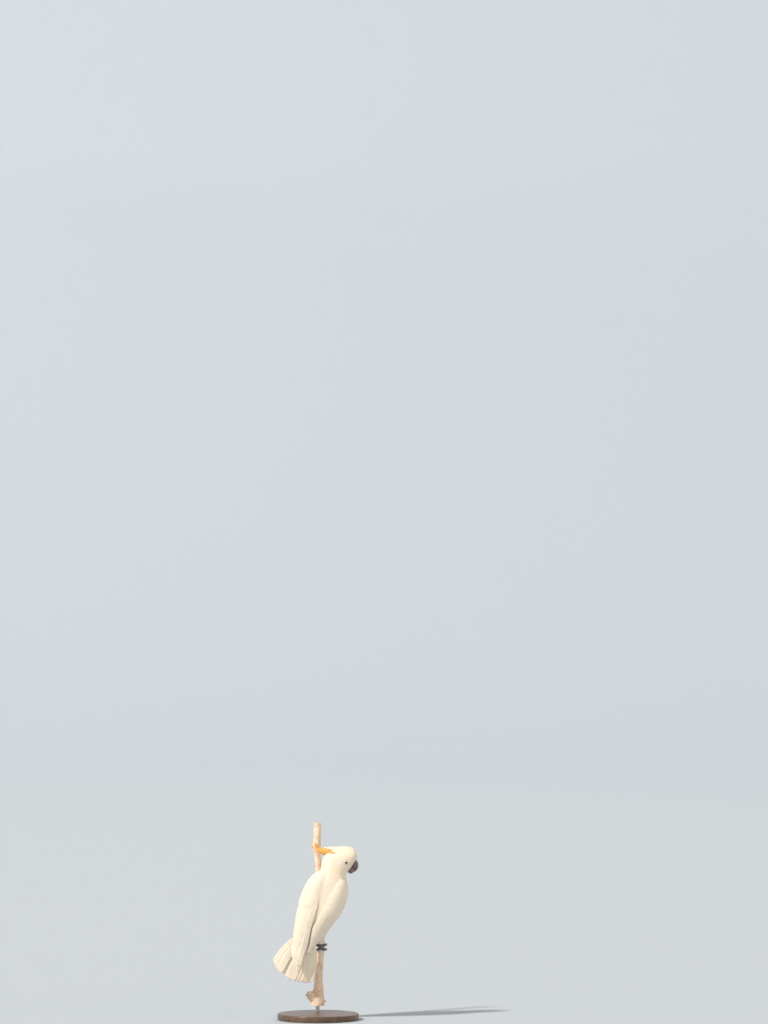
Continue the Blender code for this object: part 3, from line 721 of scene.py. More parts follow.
class Guide:
    """The skin as arrays and a search tree: where feathers root and what they lie along."""

    def __init__(self, obj):
        mesh = obj.data
        self.p, self.n = vertex_arrays(mesh)
        mesh.calc_loop_triangles()
        self.tri = read(mesh.loop_triangles, "vertices", 3, np.int32)
        corners = read(mesh.loop_triangles, "loops", 3, np.int32)
        self.uv = read(mesh.uv_layers["OFBake"].data, "uv", 2)[corners]
        self.tree = BVHTree.FromPolygons(self.p.tolist(), self.tri.tolist())
        edges = np.concatenate([self.tri[:, (0, 1)], self.tri[:, (1, 2)], self.tri[:, (2, 0)]])
        for _ in range(8):                         # evens out the small steps of the voxels
            total = self.n.copy()
            for a, b in (edges.T, edges.T[::-1]):
                for k in range(3):
                    total[:, k] += np.bincount(a, self.n[b, k], len(self.n))
            self.n = unit(total)

    def nearest(self, points):
        """Nearest points on the skin and its smooth normals there."""
        shape = points.shape
        found = [self.tree.find_nearest(Vector(p)) for p in points.reshape(-1, 3)]
        q = np.array([f[0] for f in found])
        face = np.array([f[2] for f in found])
        corner = self.p[self.tri[face]]
        a, b, c = corner[:, 0], corner[:, 1], corner[:, 2]
        whole = np.linalg.norm(np.cross(b - a, c - a), axis=1) + 1e-12
        wa = np.linalg.norm(np.cross(b - q, c - q), axis=1) / whole
        wb = np.linalg.norm(np.cross(c - q, a - q), axis=1) / whole
        wc = np.clip(1 - wa - wb, 0, 1)
        n = self.n[self.tri[face]]
        n = unit(n[:, 0] * wa[:, None] + n[:, 1] * wb[:, None] + n[:, 2] * wc[:, None])
        return q.reshape(shape), n.reshape(shape)

    def scatter(self, tries, spacing, keep, rng):
        """Evenly spaced roots: points, normals and OFBake places. spacing and keep take points."""
        a, b, c = (self.p[self.tri[:, k]] for k in range(3))
        area = np.linalg.norm(np.cross(b - a, c - a), axis=1)
        middle = (a + b + c) / 3
        weight = area * keep(middle) / spacing(middle) ** 2
        face = rng.choice(len(area), tries, p=weight / weight.sum())
        r = rng.random((tries, 2))
        flip = r.sum(1) > 1
        r[flip] = 1 - r[flip]
        w = np.stack([1 - r.sum(1), r[:, 0], r[:, 1]], 1)[:, :, None]
        p = (self.p[self.tri[face]] * w).sum(1)
        n = unit((self.n[self.tri[face]] * w).sum(1))
        uv = (self.uv[face] * w).sum(1)
        gap = spacing(p)
        cells = np.floor(p / float(gap.max())).astype(int).tolist()
        taken, chosen = {}, []
        for i, ((x, y, z), (px, py, pz), limit) in enumerate(zip(cells, p.tolist(), gap * gap)):
            near = (q for dx in (-1, 0, 1) for dy in (-1, 0, 1) for dz in (-1, 0, 1)
                    for q in taken.get((x + dx, y + dy, z + dz), ()))
            if all((px - qx) ** 2 + (py - qy) ** 2 + (pz - qz) ** 2 >= limit for qx, qy, qz in near):
                taken.setdefault((x, y, z), []).append((px, py, pz))
                chosen.append(i)
        return p[chosen], n[chosen], uv[chosen]


# ---- contour feathers

BILL_FRONT = np.array([-87, HEAD_Y, 337])
PATCH = 0.003                # size of a feather's patch in OFBake
TURN, RAG = 4, 0.004         # how far feathers turn aside, in degrees, and how ragged they end
FLAT = 0.78                  # how much of a feather's shading comes from the skin's own curve


def lie(p, n):
    """The way feathers point: out from the bill over the head, then down the body to the tail."""
    away = p - BILL_FRONT
    far = np.linalg.norm(away, axis=1)
    away = away / far[:, None]
    head = step(46, 92, along_body(p) - 0.35 * (p[:, 0] + 60))[:, None]
    nape = step(-34, -8, p[:, 0])[:, None]
    back = np.array([1, 0, -0.3]) * (1 - nape) + np.array([0.35, 0, -1]) * nape
    radial = fade(22, 60, far)[:, None]
    back = away * radial + back * (1 - radial)
    way = back * head - UP * (1 - head)
    thigh = thigh_share(p, 190)[:, None]
    way = way * (1 - thigh) + np.array([0.1, -0.25, -1]) * thigh
    return unit(way - (way * n).sum(1, keepdims=True) * n)


def vane_width(s, tip=0.55, swell=0.45):
    """Half width along a contour feather, as a share of its widest."""
    s = np.asarray(s, float)
    rise = 0.45 + 0.55 * step(0, swell, s)
    fall = np.sqrt(np.clip(1 - ((s - swell) / (1.005 - swell)).clip(0, 1) ** 2.4, 0, 1))
    return rise * (tip + (1 - tip) * fall) * (0.25 + 0.75 * np.clip(fall * 1.6, 0, 1))


def lay(name, guide, root, normal, uv, way, length, half, lift, tint, rows, cols, camber, material):
    """Feathers rooted on the guide, laid along it: each a small curved grid with a ragged end."""
    n = len(root)
    rng = np.random.default_rng(n)
    yaw = np.radians(rng.normal(0, TURN, (n, 1)))
    side = np.cross(way, normal)
    way, side = way * np.cos(yaw) + side * np.sin(yaw), side * np.cos(yaw) - way * np.sin(yaw)
    length = length[:, None, None] * rng.uniform(0.88, 1.1, (n, 1, 1))
    half = half[:, None, None] * rng.uniform(0.9, 1.08, (n, 1, 1))
    root, way, side, uv, tint = (v[:, None, None] for v in (root, way, side, uv, tint))
    s = np.sin(np.linspace(0, math.pi / 2, rows))[:, None] * np.ones((1, cols))
    t = np.linspace(-1, 1, cols)[None, :] * np.ones((rows, 1))
    ahead = (s + rng.uniform(-RAG, RAG, (n, 1, cols)) * s ** 3) * length
    across = t * vane_width(s) * half
    q, qn = guide.nearest(root + way * ahead[..., None] + side * across[..., None])
    roll = rng.normal(0, 0.03, (n, 1, 1)) * t
    high = rng.uniform(0.93, 1, (n, 1, 1)) * lift[:, None, None]
    rise = 0.1 + (high - 0.1) * s ** 0.9 - camber * (t ** 2 * (0.3 + 0.7 * s)) + roll * half * 0.35
    q = q + qn * np.maximum(rise, 0.05)[..., None]
    along, wide = (unit(np.gradient(q, axis=k)) for k in (1, 2))
    shade = unit(unit(np.cross(wide, along)) * (1 - FLAT) + qn * FLAT)
    patch = uv + np.stack([t, 2 * s - 1], -1) * (PATCH / 2)
    vane = np.stack([across, ahead], -1) * 0.1
    # Each feather's colour darkens a little towards its root: painted shade where the feathers over it
    # overlap. The random factor is the feather's own tone.
    colour = tint * (0.965 + 0.035 * s ** 0.8)[..., None] * rng.uniform(0.965, 1.01, (n, 1, 1, 1))
    put(name, q, grid_faces(rows, cols, n), material, "white_feather", (), colour,
        {"OFBake": patch, "vane": vane}, shade)


def head_share(p):
    return step(58, 80, along_body(p) - 0.2 * (p[:, 0] + 60))


def face_share(p):
    """1 at the bill and eye, falling to 0 over the crown, cheeks and nape."""
    return fade(10, 48, seen_far(p, -78, 340))


def feather_length(p):
    a = along_body(p)
    body = 16 + 7 * fade(-100, -50, a) - 3 * step(30, 62, a)
    body = body + (11.5 + 12 * fade(-36, 36, a) - body) * on_wing(p, 0)
    body = body + (8 - body) * thigh_share(p, 195)
    head = 11.5 - 6.5 * face_share(p)
    near_eye = fade(5, 11, seen_far(p, *EYE_AT))
    near_bill = fade(0, 10, seen_far(p, -74, 336) - 11)
    head = head - 2 * np.maximum(near_eye, near_bill)
    share = head_share(p)
    return body * (1 - share) + head * share


def feathered(p):
    """1 where small feathers grow, 0 in the eye rings and under the wings' long feathers."""
    eye = step(3.9, 4.2, seen_far(p, *EYE_AT))
    side = np.abs(p[:, 1] - HEAD_Y) > 8
    wave = 5 * np.sin(0.31 * p[:, 0] + 0.23 * p[:, 1]) + 3 * np.sin(0.83 * p[:, 0] + 1.7)
    covered = on_wing(p, 6) * (along_body(p) < -31 + wave)
    return np.where(side, eye, 1) * (1 - covered)


def make_coat(guide, look):
    """Small feathers of the head, neck, body and thighs, in pieces under the export's size."""
    def spacing(p):
        return feather_length(p) * (0.24 - 0.015 * head_share(p))

    p, n, uv = guide.scatter(220_000, spacing, feathered, np.random.default_rng(3))
    length = feather_length(p)
    head, front = head_share(p) > 0.5, p[:, 1] < 20
    groups = {"plumage_head": head, "plumage_back": ~head & ~front, "plumage_breast": ~head & front}
    for name, mask in groups.items():
        q, m, size = p[mask], n[mask], length[mask]
        share, rows, cols, camber = (0.38, 7, 5, 0.05) if name == "plumage_head" else (0.42, 10, 7, 0.16)
        lay(name, guide, q, m, uv[mask], lie(q, m), size * 1.25, size * share, skin_depth(q), marking(q),
            rows, cols, camber, look)


# ---- long feathers

def blade(path, half, rows, cols, rng, tip, rag, camber, shaft, root=0.35, inner=1, notch=True,
          limits=None, surface=None):
    """Grid of one long feather, and its vane's own places. path(s) gives the shaft's point, the way
    across and the way out. tip is how far up it rounds off, root its width there, inner the inner
    vane's share of half. limits(s) bounds both vanes and surface(s, reach) is what they lie on."""
    grid, vane = [], []
    length, last = 0, None
    ends = rng.normal(0, rag, cols)
    cut = (rng.uniform(0.35, 0.9), rng.choice([-1, 1]), rng.uniform(0.08, 0.2)) if notch else None
    for s in (np.arange(rows) / (rows - 1)) ** 0.9:
        p, across, out = path(s)
        length += 0 if last is None else np.linalg.norm(p - last)
        last = p
        ahead = unit(path(min(s + 0.01, 1))[0] - path(max(s - 0.01, 0))[0])
        over = max(0, (s - (1 - tip * 0.3)) / (tip * 0.3))
        wide = root + (1 - root) * step(0, 0.3, s)
        wide *= 0.25 + 0.75 * math.sqrt(max(0, 1 - over ** 2.2))
        row, flat = [], []
        for t, end in zip(np.linspace(-1, 1, cols), ends):
            reach = t * half * wide * (1 if t > 0 else inner)
            if limits:
                low, high = limits(s)
                reach = min(max(reach, -low), high)
            if cut and t * cut[1] > 0.5:
                reach *= 1 - cut[2] * max(0, 1 - abs(s - cut[0]) / 0.012) * (abs(t) - 0.5) * 2
            drop = camber * t * t + (0 if abs(t) > 0.15 else -shaft * (1 - s))
            on = surface(s, reach) if surface else p + across * reach
            row.append(on - out * drop + ahead * (end * s ** 8))
            flat.append((reach * 0.1, length * 0.1))
        grid.append(row)
        vane.append(flat)
    return np.array(grid), np.array(vane)


def plumes(name, grids, material, tints, slot, replaces, thick):
    """Joins long feathers into one piece, each with a strip of its own in OFBake."""
    p, vane = (np.array(part) for part in zip(*grids))
    n, rows, cols = p.shape[:3]
    across = int(math.ceil(math.sqrt(n * 4)))
    down = int(math.ceil(n / across))
    u, v = np.meshgrid(np.linspace(0.04, 0.96, cols), np.linspace(0.02, 0.98, rows))
    uv = np.stack([np.stack([(i % across + u) / across, (i // across + v) / down], -1)
                   for i in range(n)])
    tint = np.broadcast_to(np.array(tints)[:, None, None], p.shape)
    obj = put(name, p, grid_faces(rows, cols, n), material, slot, replaces, tint,
              {"OFBake": uv, "vane": vane})
    if thick:
        modifier = obj.modifiers.new("thickness", "SOLIDIFY")
        modifier.thickness, modifier.offset = thick * MM, 0


def tip_rise(side, a):
    """How far the wing stands off the tail towards its tip."""
    start, end, most = TIP_RISE[side]
    return np.array([0, most * min(max((start - a) / (start - end), 0), 1) ** 1.25, 0])


def tract(side, at, edges, top=None):
    """Path, limits and surface of a wing feather for blade(). at(s) gives its place along the body,
    angle and offset. The vane stays between edges(place), the back and belly edges, and follows
    top(place, angle) across."""
    mirror = MIRROR[side]

    def path(s):
        a, angle, offset = at(s)
        p = over_trunk(a, angle, offset, mirror)
        wide = over_trunk(a, angle + 1, offset, mirror) - over_trunk(a, angle - 1, offset, mirror)
        out = over_trunk(a, angle, offset + 1, mirror) - p
        return p + tip_rise(side, a), unit(wide) * -mirror, unit(out)

    def limits(s):
        a, angle, _ = at(s)
        back, belly = edges(a)
        degree = degree_at(a, angle, mirror)
        room = max(back - angle, 0) * degree + 0.15, max(angle - belly, 0) * degree + 0.15
        return room if mirror > 0 else room[::-1]

    def surface(s, reach):
        a, angle, offset = at(s)
        there = angle - mirror * reach / degree_at(a, angle, mirror)
        if top:
            offset += top(a, there) - top(a, angle)
        return over_trunk(a, there, offset, mirror) + tip_rise(side, a)

    return path, limits, surface


def degree_at(a, angle, mirror):
    """Millimetres to a degree round the trunk's section."""
    step_over = over_trunk(a, angle + 1, 2, mirror) - over_trunk(a, angle - 1, 2, mirror)
    return float(np.linalg.norm(step_over)) / 2


def meets_edge(side, angle, low):
    """Place along the body where the wing's lower edge crosses an angle."""
    places = np.linspace(0, low, 120)
    past = [a for a in places if row_at(WING[side], a)[2] >= angle]
    return float(past[0]) if past else low


def tone(rng, share=0.03, base=WHITE):
    """A feather's colour, a little darker and warmer than base."""
    dark = rng.uniform(1 - share, 1)
    return base * dark * np.array([1, rng.uniform(0.992, 1), rng.uniform(0.97, 1)])


PRIMARY_COUNT, PRIMARY_FROM, PRIMARY_HALF = 10, -22, 6.4         # number, root's place, half width
SECONDARY_COUNT, SECONDARY_FROM, SECONDARY_HALF = 15, 6, 8.6
SECONDARY_ANGLES = {"left": (-12, 106), "right": (-8, 70)}


def make_wing(side, look):
    mirror = MIRROR[side]
    rng = np.random.default_rng(30 + mirror)
    first, tip = PRIMARIES[side][0][0], PRIMARIES[side][-1][0]

    def cover_edges(a):
        return row_at(WING[side], a)[1:3]

    def flight_edges(a):
        """Back and belly edge of the primaries, carried on up under the secondaries."""
        if a < first:
            return row_at(PRIMARIES[side], a)[1:3]
        share = step(first, first + 40, a)
        edges = np.array(PRIMARIES[side][0][1:3])
        return edges + (cover_edges(a)[1] + np.array([40, 3]) - edges) * share

    def width(a):
        back, belly = flight_edges(a)
        return (back - belly) * degree_at(a, (back + belly) / 2, mirror)

    grids, tints = [], []
    for j in range(PRIMARY_COUNT):                 # the longest lowest, beside the lead edge
        inset = 1.6 + 3.5 * j
        end = tip + 0.3
        while width(end) < inset + 1.2 + 0.25 * j and end < first + 30:
            end += 0.5

        def at(s):
            a = PRIMARY_FROM + (end - PRIMARY_FROM) * s
            back, belly = flight_edges(a)
            return a, belly + (back - belly) * min(inset / max(width(a), 1e-3), 0.97), 1.3 + 0.15 * j
        path, limits, surface = tract(side, at, flight_edges)
        grids.append(blade(path, PRIMARY_HALF, 40, 7, rng, 0.75, 0.3, 0.1, 0.12, inner=0.85,
                           limits=limits, surface=surface))
        tints.append(tone(rng))
    plumes(f"primaries_{side}", grids, look, tints, "white_feather", (f"primaries_{side}",), 0.2)

    grids, tints = [], []
    low, low_edge = WING[side][-1][0] + 1, WING[side][-1][2]
    for j, angle in enumerate(np.linspace(*SECONDARY_ANGLES[side], SECONDARY_COUNT)):   # innermost on top
        end = meets_edge(side, min(angle - 5, low_edge), low) + rng.uniform(-1, 1)

        def at(s):
            a = SECONDARY_FROM + (end - SECONDARY_FROM) * s
            back, edge = cover_edges(a)
            across = min(max(angle, edge + 5), back - 5.5)
            sunk = 2.2 - 0.11 * j + 2.6 * (1 - s) ** 3 + 1.1 * s ** 4
            return a, across, wing_top(side, a, across) - sunk
        path, limits, surface = tract(side, at, cover_edges, lambda a, b: wing_top(side, a, b))
        grids.append(blade(path, SECONDARY_HALF, 40, 9, rng, 0.6, 0.3, 0.08, 0.12, inner=0.9,
                           limits=limits, surface=surface))
        tints.append(tone(rng))
    plumes(f"secondaries_{side}", grids, look, tints, "white_feather", (), 0.15)


# Tail fan, as in the CAD
TAIL_COUNT, TAIL_HALF, OUTER_RISE = 12, 8.2, 4.2
TAIL_PIVOT, TAIL_FROM, TAIL_LENGTH = -78, 20, 110
TAIL_SHORTER = {"left": 7.5, "right": 0.5}
TAIL_OPEN = {"left": 27.5, "right": 22.5}
TAIL_BOW = 0.95
TAIL_DROP = 2
TAIL_Y = (49.5, 40.5)


def tail_point(turn, reach, rank, rise=0):
    share = reach / TAIL_LENGTH
    a = math.radians(turn * (1 + TAIL_BOW * (1 - share)))
    y = TAIL_Y[0] + (TAIL_Y[1] - TAIL_Y[0]) * share - TAIL_DROP * rank - 0.8 + rise
    return beside_axis(TAIL_PIVOT - reach * math.cos(a), 1.5 + reach * math.sin(a), y)


def make_tail(look):
    rng = np.random.default_rng(41)
    grids, tints = [], []
    middle = TAIL_COUNT / 2
    for i in sorted(range(TAIL_COUNT), key=lambda i: -abs(i + 0.5 - middle)):      # outermost first
        place = i + 0.5 - middle
        rank = abs(place) / middle
        side = "left" if place > 0 else "right"
        turn = TAIL_OPEN[side] * place / middle + rng.normal(0, 0.4)
        end = TAIL_LENGTH - TAIL_SHORTER[side] * rank ** 2 - 0.6 - rng.uniform(0, 1.5)
        rise = 0.9 * (1 - rank) - 0.4
        if place > 3:                              # the outer left feathers ride up, clear of the next
            turn, rise, end = turn - 0.5, rise + OUTER_RISE, end - 1.5 * (place > 5)
        elif place > 2:                            # the next is short and leaves a notch
            turn, rise, end = turn - 1.8, rise - 0.8, end - 15

        def path(s):
            reach = TAIL_FROM + (end - TAIL_FROM) * s
            wide = unit(tail_point(turn + 1, reach, rank) - tail_point(turn - 1, reach, rank))
            ahead = tail_point(turn, reach + 1, rank) - tail_point(turn, reach - 1, rank)
            out = unit(np.cross(ahead, wide))
            return tail_point(turn, reach, rank, rise * (0.3 + 0.7 * s)), wide, out * np.sign(out[1])
        grids.append(blade(path, TAIL_HALF, 34, 9, rng, 0.36, 0.22, 0.2, 0.25, root=0.45))
        tints.append(tone(rng))
    plumes("tail", grids, look, tints, "white_feather", ("tail",), 0.25)


# Folded crest: x, z, half height and half width from the forehead back to the upturned tip
CREST = [
    (-80.5, 367, 2, 7), (-74, 370, 3.6, 10), (-62, 371.6, 4.4, 11.5),
    (-46, 370.8, 4.8, 12), (-34, 369.2, 5.8, 11), (-22, 366.6, 8.4, 9.5),
    (-12.5, 366.2, 8.4, 8.2), (-4, 369.2, 6.8, 6.8), (1.2, 373.8, 5.2, 5.2),
    (4.4, 378.8, 3.2, 3.4), (6.2, 383.2, 1, 1.2),
]


def crest_path(start, end, u0, v0, u1, v1):
    """Shaft of a crest feather: from and to a place in CREST, at shares of its half width and height."""
    def at(q):
        place = start + (end - start) * q
        x, z, high, wide = smooth_rows(CREST, place)
        run = unit((smooth_rows(CREST, place + 0.1) - smooth_rows(CREST, place - 0.1))[:2])
        up = np.array([-run[1], 0, run[0]])
        u, v = u0 + (u1 - u0) * q, v0 + (v1 - v0) * q
        return np.array([x, HEAD_Y, z]) + up * v * high + np.array([0, u * wide, 0]), up, u, v

    def path(s):
        p, up, u, v = at(s)
        ahead = unit(at(min(s + 0.02, 1))[0] - at(max(s - 0.02, 0))[0])
        out = up * (v + 0.15) + np.array([0, u, 0])
        out = unit(out - ahead * (out @ ahead))
        return p, np.cross(out, ahead), out
    return path


def head_side(guide, x, z, side, out):
    """Point on the head at x and z, on its right (1, +y) or left (-1) side."""
    hit = guide.tree.ray_cast(Vector((x, HEAD_Y + 60 * side, z)), Vector((0, -side, 0)))[0]
    if hit is None:
        return np.array([x, HEAD_Y + 4 * side, z])
    return np.array(hit) + np.array([0, side * out, 0])


def crest_from_head(guide, start, share, side, end):
    """Shaft that runs from the head's side into the crest. share is 0 along the crest's lower edge."""
    v0 = -0.88 + 1.34 * share
    u0 = side * math.sqrt(max(0, 1 - v0 ** 2)) * 0.9
    tail = crest_path(5, end, u0, v0, u0 * 0.6, v0 * 0.8)
    joint = tail(0)[0]
    a = head_side(guide, start, 360.6 + 7.5 * share, side, 0.3)
    b = head_side(guide, start + 9, 360.3 + 9 * share, side, 2.6)
    c = joint - unit(tail(0.04)[0] - joint) * 6

    def centre(s):
        if s > 0.5:
            return tail((s - 0.5) * 2)[0]
        q = s * 2
        p = a * (1 - q) ** 3 + 3 * b * q * (1 - q) ** 2 + 3 * c * q * q * (1 - q) + joint * q ** 3
        skin_off = side * (head_side(guide, p[0], p[2], side, 1.3)[1] - HEAD_Y)
        skin_off -= 0.9 * fade(0, 0.22, q)
        off = max(side * (p[1] - HEAD_Y), skin_off * fade(0.72, 1, q))
        return np.array([p[0], HEAD_Y + side * off, p[2]])

    def path(s):
        ahead = unit(centre(min(s + 0.03, 1)) - centre(max(s - 0.03, 0)))
        out = np.array([0, side * (0.35 + abs(u0)), 0.25 + 0.5 * v0])
        if s > 0.5:
            out = tail((s - 0.5) * 2)[2] * (2 * s - 1) + out * (2 - 2 * s)
        out = unit(out - ahead * (out @ ahead))
        return centre(s), np.cross(out, ahead), out
    return path


SIDE_PLUMES, TOP_PLUMES, HIND_PLUMES = 60, 26, 110      # orange, orange and white ones
PLUME_HALF, HIND_HALF = 2.9, 2.6


def make_crest(look, guide):
    rng = np.random.default_rng(52)
    grids, tints = [], []
    for i in range(SIDE_PLUMES):                   # long narrow orange feathers
        share = (i * GOLDEN % 1) ** 0.8
        start = -44.5 + 21 * share * rng.uniform(0.85, 1) + rng.uniform(0, 2)
        end = 9.9 - 2.8 * rng.random() ** 1.6
        path = crest_from_head(guide, start, share, 1 if i % 2 else -1, end)
        grids.append(blade(path, PLUME_HALF, 34, 5, rng, 1.2, 0.3, 0.5, 0.1, root=0.12))
        tints.append(tone(rng, 0.14, CITRON))
    for i in range(TOP_PLUMES):                    # and those that close its hollow from above
        angle = math.radians(12 + 156 * (i * GOLDEN % 1))
        u, v = math.cos(angle), math.sin(angle)
        path = crest_path(4.4, 9.7 - 1.6 * rng.random() ** 1.6, u * 0.55, v * 0.45, u * 0.6, v * 0.8)
        grids.append(blade(path, PLUME_HALF, 34, 5, rng, 1.2, 0.3, 0.5, 0.1, root=0.3))
        tints.append(tone(rng, 0.14, CITRON))
    plumes("crest_orange", grids, look, tints, "crest_feather", ("crest",), 0)

    grids, tints = [], []
    for i in range(HIND_PLUMES):                   # the crown's hind feathers, white over the orange
        angle = math.radians(8 + 164 * (i * GOLDEN % 1))
        high = math.sin(angle)
        end = 4.1 + 2.3 * high ** 1.8 * (0.92 + 0.08 * rng.random())
        start = max(2.4, end - 2.2 - 0.6 * rng.random())
        u, v = math.cos(angle), 0.15 + 0.85 * high
        path = crest_path(start, end, u * 0.6, v * 0.45, u * 0.94, v * 1.02)
        grids.append(blade(path, HIND_HALF, 18, 5, rng, 1.3, 0.2, 0.4, 0.1, root=0.5, notch=False))
        tints.append(tone(rng))
    plumes("crest_white", grids, look, tints, "white_feather", (), 0)


# ---- bill, eyes and lids

# Bill: culmen-side point and cutting-edge point, then the half width
BILL_UPPER = [
    ((-79.4, 349.6), (-68.6, 332.6), 9.3), ((-84, 345.2), (-73.2, 331.4), 9),
    ((-86.6, 339.6), (-76, 330), 8), ((-87, 334), (-77.6, 328), 6.6),
    ((-85.6, 328.6), (-78, 325.6), 4.8), ((-82.8, 324.2), (-78.2, 323.2), 2.8),
    ((-79, 320.6), (-77.8, 321.2), 0.9),
]
BILL_LOWER = [
    ((-68.4, 335), (-64, 320.4), 7.4), ((-72.4, 334), (-67.4, 317.6), 7.1),
    ((-76, 332), (-71.4, 316.8), 6.2), ((-79, 329), (-74.8, 318.4), 4.6),
    ((-80.4, 325.4), (-77, 320.8), 2.6),
]
CERE_END = 0.62              # place in BILL_UPPER where the bare skin over the bill's root ends
NOSTRIL_AT = (0.36, 46)    # its place, and degrees from the culmen


def make_bill(name, rows, look, slot, upper):
    sides, steps = 48, 60
    flat = [(*out, *edge, half) for out, edge, half in rows]
    points = []
    for place in np.linspace(0, len(rows) - 1, steps):
        ox, oz, ex, ez, half = smooth_rows(flat, place)
        out, edge = np.array([ox, oz]), np.array([ex, ez])
        side, centre, deep = unit(out - edge), (out + edge) / 2, np.linalg.norm(out - edge) / 2
        for angle in 360 * np.arange(sides) / sides:
            turn = (angle + 180) % 360 - 180
            scale = 1 - 0.004 * math.sin(place * 16 + 2 * math.sin(math.radians(turn)))
            if upper:
                scale *= 1 - 0.03 * step(CERE_END - 0.03, CERE_END + 0.04, place)
                near = math.hypot((place - NOSTRIL_AT[0]) / 0.17, (abs(turn) - NOSTRIL_AT[1]) / 11)
                scale *= 1 - 0.16 * max(0, 1 - near ** 2) + 0.03 * math.exp(-((near - 1.25) / 0.3) ** 2)
            else:
                scale *= 0.985 - 0.02 * math.exp(-((abs(turn) - 90) / 16) ** 2)
            points.append(section_point((centre[0], HEAD_Y, centre[1]), (side[0], 0, side[1]),
                                        deep * scale, half * scale, half * scale, angle, 2.3))
    tip = np.mean(points[-sides:], axis=0)
    points += [tip + (q - tip) * 0.05 for q in points[-sides:]]
    put(name, points, grid_faces(steps + 1, sides, closed=True)[:, ::-1], look, slot, (name,))


def eye_frame(side):
    """Centre of an eyeball in millimetres, its outward axis and two axes across it."""
    lo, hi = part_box(f"eye_{side}")
    centre = np.array((lo + hi) / 2) / MM
    out = unit(np.array([-0.22, -MIRROR[side], 0.06]))
    ahead = unit(out * out[0] - np.array([1, 0, 0]))
    return centre, out, ahead, np.cross(out, ahead)


PUPIL, IRIS = np.array([0.006, 0.005, 0.005]), np.array([0.05, 0.024, 0.012])


def make_eye(side, look):
    centre, out, ahead, up = eye_frame(side)
    rings, spokes = 40, 40
    points, tints = [], []
    for a in np.linspace(0, 180, rings):
        radius = EYE_RADIUS + 0.22 * math.exp(-(a / 30) ** 2)    # the cornea stands out a little
        iris = step(20, 23, a) * fade(38, 44, a)
        c, s = math.cos(math.radians(a)), max(math.sin(math.radians(a)), 0.004)
        points += [centre + radius * (out * c + (ahead * u + up * v) * s) for _, u, v in turns(spokes)]
        tints += [PUPIL + iris * IRIS] * spokes
    faces = grid_faces(rings, spokes, closed=True)[:, ::-1]
    put(f"eye_{side}", points, faces, look, "eye", (f"eye_{side}",), np.array(tints))


LID_RINGS = (2.65, 2.72, 2.85, 3.1, 3.4, 3.7, 4, 4.35, 4.75, 5.2)      # radius of each ring
LID_THICK = (0, 0.18, 0.3) + (0.34,) * 7       # how far it stands off the ball
LID_EDGE = 3.7                                 # radius where the lids leave the ball


def make_lids(side, guide, look):
    """Eyelids closed round the ball and the bare pale ring about them, wrinkled."""
    centre, out, ahead, up = eye_frame(side)
    spokes = 72
    points = []
    for j, (reach, thick) in enumerate(zip(LID_RINGS, LID_THICK)):
        for b, c, s in turns(spokes):
            way = ahead * c + up * s
            r = reach * (1 + 0.1 * math.cos(2 * b) * (1 - j / (len(LID_RINGS) - 1)))
            on = min(r, LID_EDGE)
            rim = centre + way * on + out * math.sqrt(max((EYE_RADIUS + thick) ** 2 - on ** 2, 0.5))
            spot, normal = guide.nearest((centre + way * 6.2 + out * 2.5)[None])
            outer = spot[0] + normal[0] * 0.15
            share = max(0, (r - LID_EDGE) / 1.65)
            wrinkle = (0.1 * math.sin(11 * b + 2 * j) + 0.1 * math.sin(2.9 * j)) * (1 - share)
            share = 1 - (1 - share) ** 1.6
            points.append(rim * (1 - share) + outer * share + out * wrinkle * (r > 3))
    faces = grid_faces(len(LID_RINGS), spokes, closed=True)
    put(f"eye_ring_{side}", points, faces, look, "white_feather")


# ---- legs and feet, as in the CAD

GAP = 0.4                    # between the stem and what grips it
STEM = [                     # height, x and radius
    (28, 1.5, 15), (44, 1, 14.4), (60, 0.4, 12), (82, -0.6, 9.6), (110, -2, 8.4),
    (140, -5, 8), (165, -6, 8), (190, -5.4, 7.8), (230, -4, 7.6),
    (280, -2.4, 7.4), (330, -0.6, 7.6), (356, 2.4, 7.4), (374, 3.6, 9),
    (392, 2.4, 8.2), (410, 1.8, 8.4), (419, 1.6, 7.2),
]
# Leg: ankle with its y behind the stem, height of its grip, and which way its toes are counted
LEGS = {"right": ((-4, 29, 163), 154, -1), "left": ((14, 25, 193), 190, 1)}
# Toe: its side of the leg, its root over the grip, and how many degrees round the stem it goes
TOES = {"1": (-1, -4.2, 88), "2": (1, 4.4, 108), "3": (1, -4, 138), "4": (-1, 4.2, 128)}
TARSUS_RADIUS, PALM_RADIUS = 3.7, 5
TOE_ROOT, TOE_END = 3.2, 2.2
CLAW_SWEEP, CLAW_ROOT, CLAW_TIP = 34, 1.7, 0.35


def round_stem(z, degrees, reach):
    """Point beside the stem at a height; 0 degrees faces the bird, growing towards -x."""
    _, x, radius = row_at(STEM, z)
    a = math.radians(degrees)
    return np.array([x - (radius + reach) * math.sin(a), PERCH_Y + (radius + reach) * math.cos(a), z])


def frames(points, up):
    """Each point of a path, the way along it and two axes across, carried on without a twist."""
    for p, way in zip(points, unit(np.gradient(points, axis=0))):
        side = unit(np.cross(way, up))
        up = np.cross(side, way)
        yield p, way, side, up


def sweep(points, radii, sides, bump=lambda i, a: 1):
    """Round bar through points as a closed grid; bump(i, angle) scales the radius."""
    points = np.array(points, float)
    level = abs(unit(points[1] - points[0])[2]) < 0.8
    rings = []
    for i, (p, _, side, up) in enumerate(frames(points, (0, 0, 1) if level else (0, 1, 0))):
        rings.append([p + radii[i] * bump(i, a) * (side * c + up * s) for a, c, s in turns(sides)])
    rings.insert(0, [points[0] + (q - points[0]) * 0.03 for q in rings[0]])
    rings.append([points[-1] + (q - points[-1]) * 0.03 for q in rings[-1]])
    return np.array(rings).reshape(-1, 3), grid_faces(len(rings), sides, closed=True)


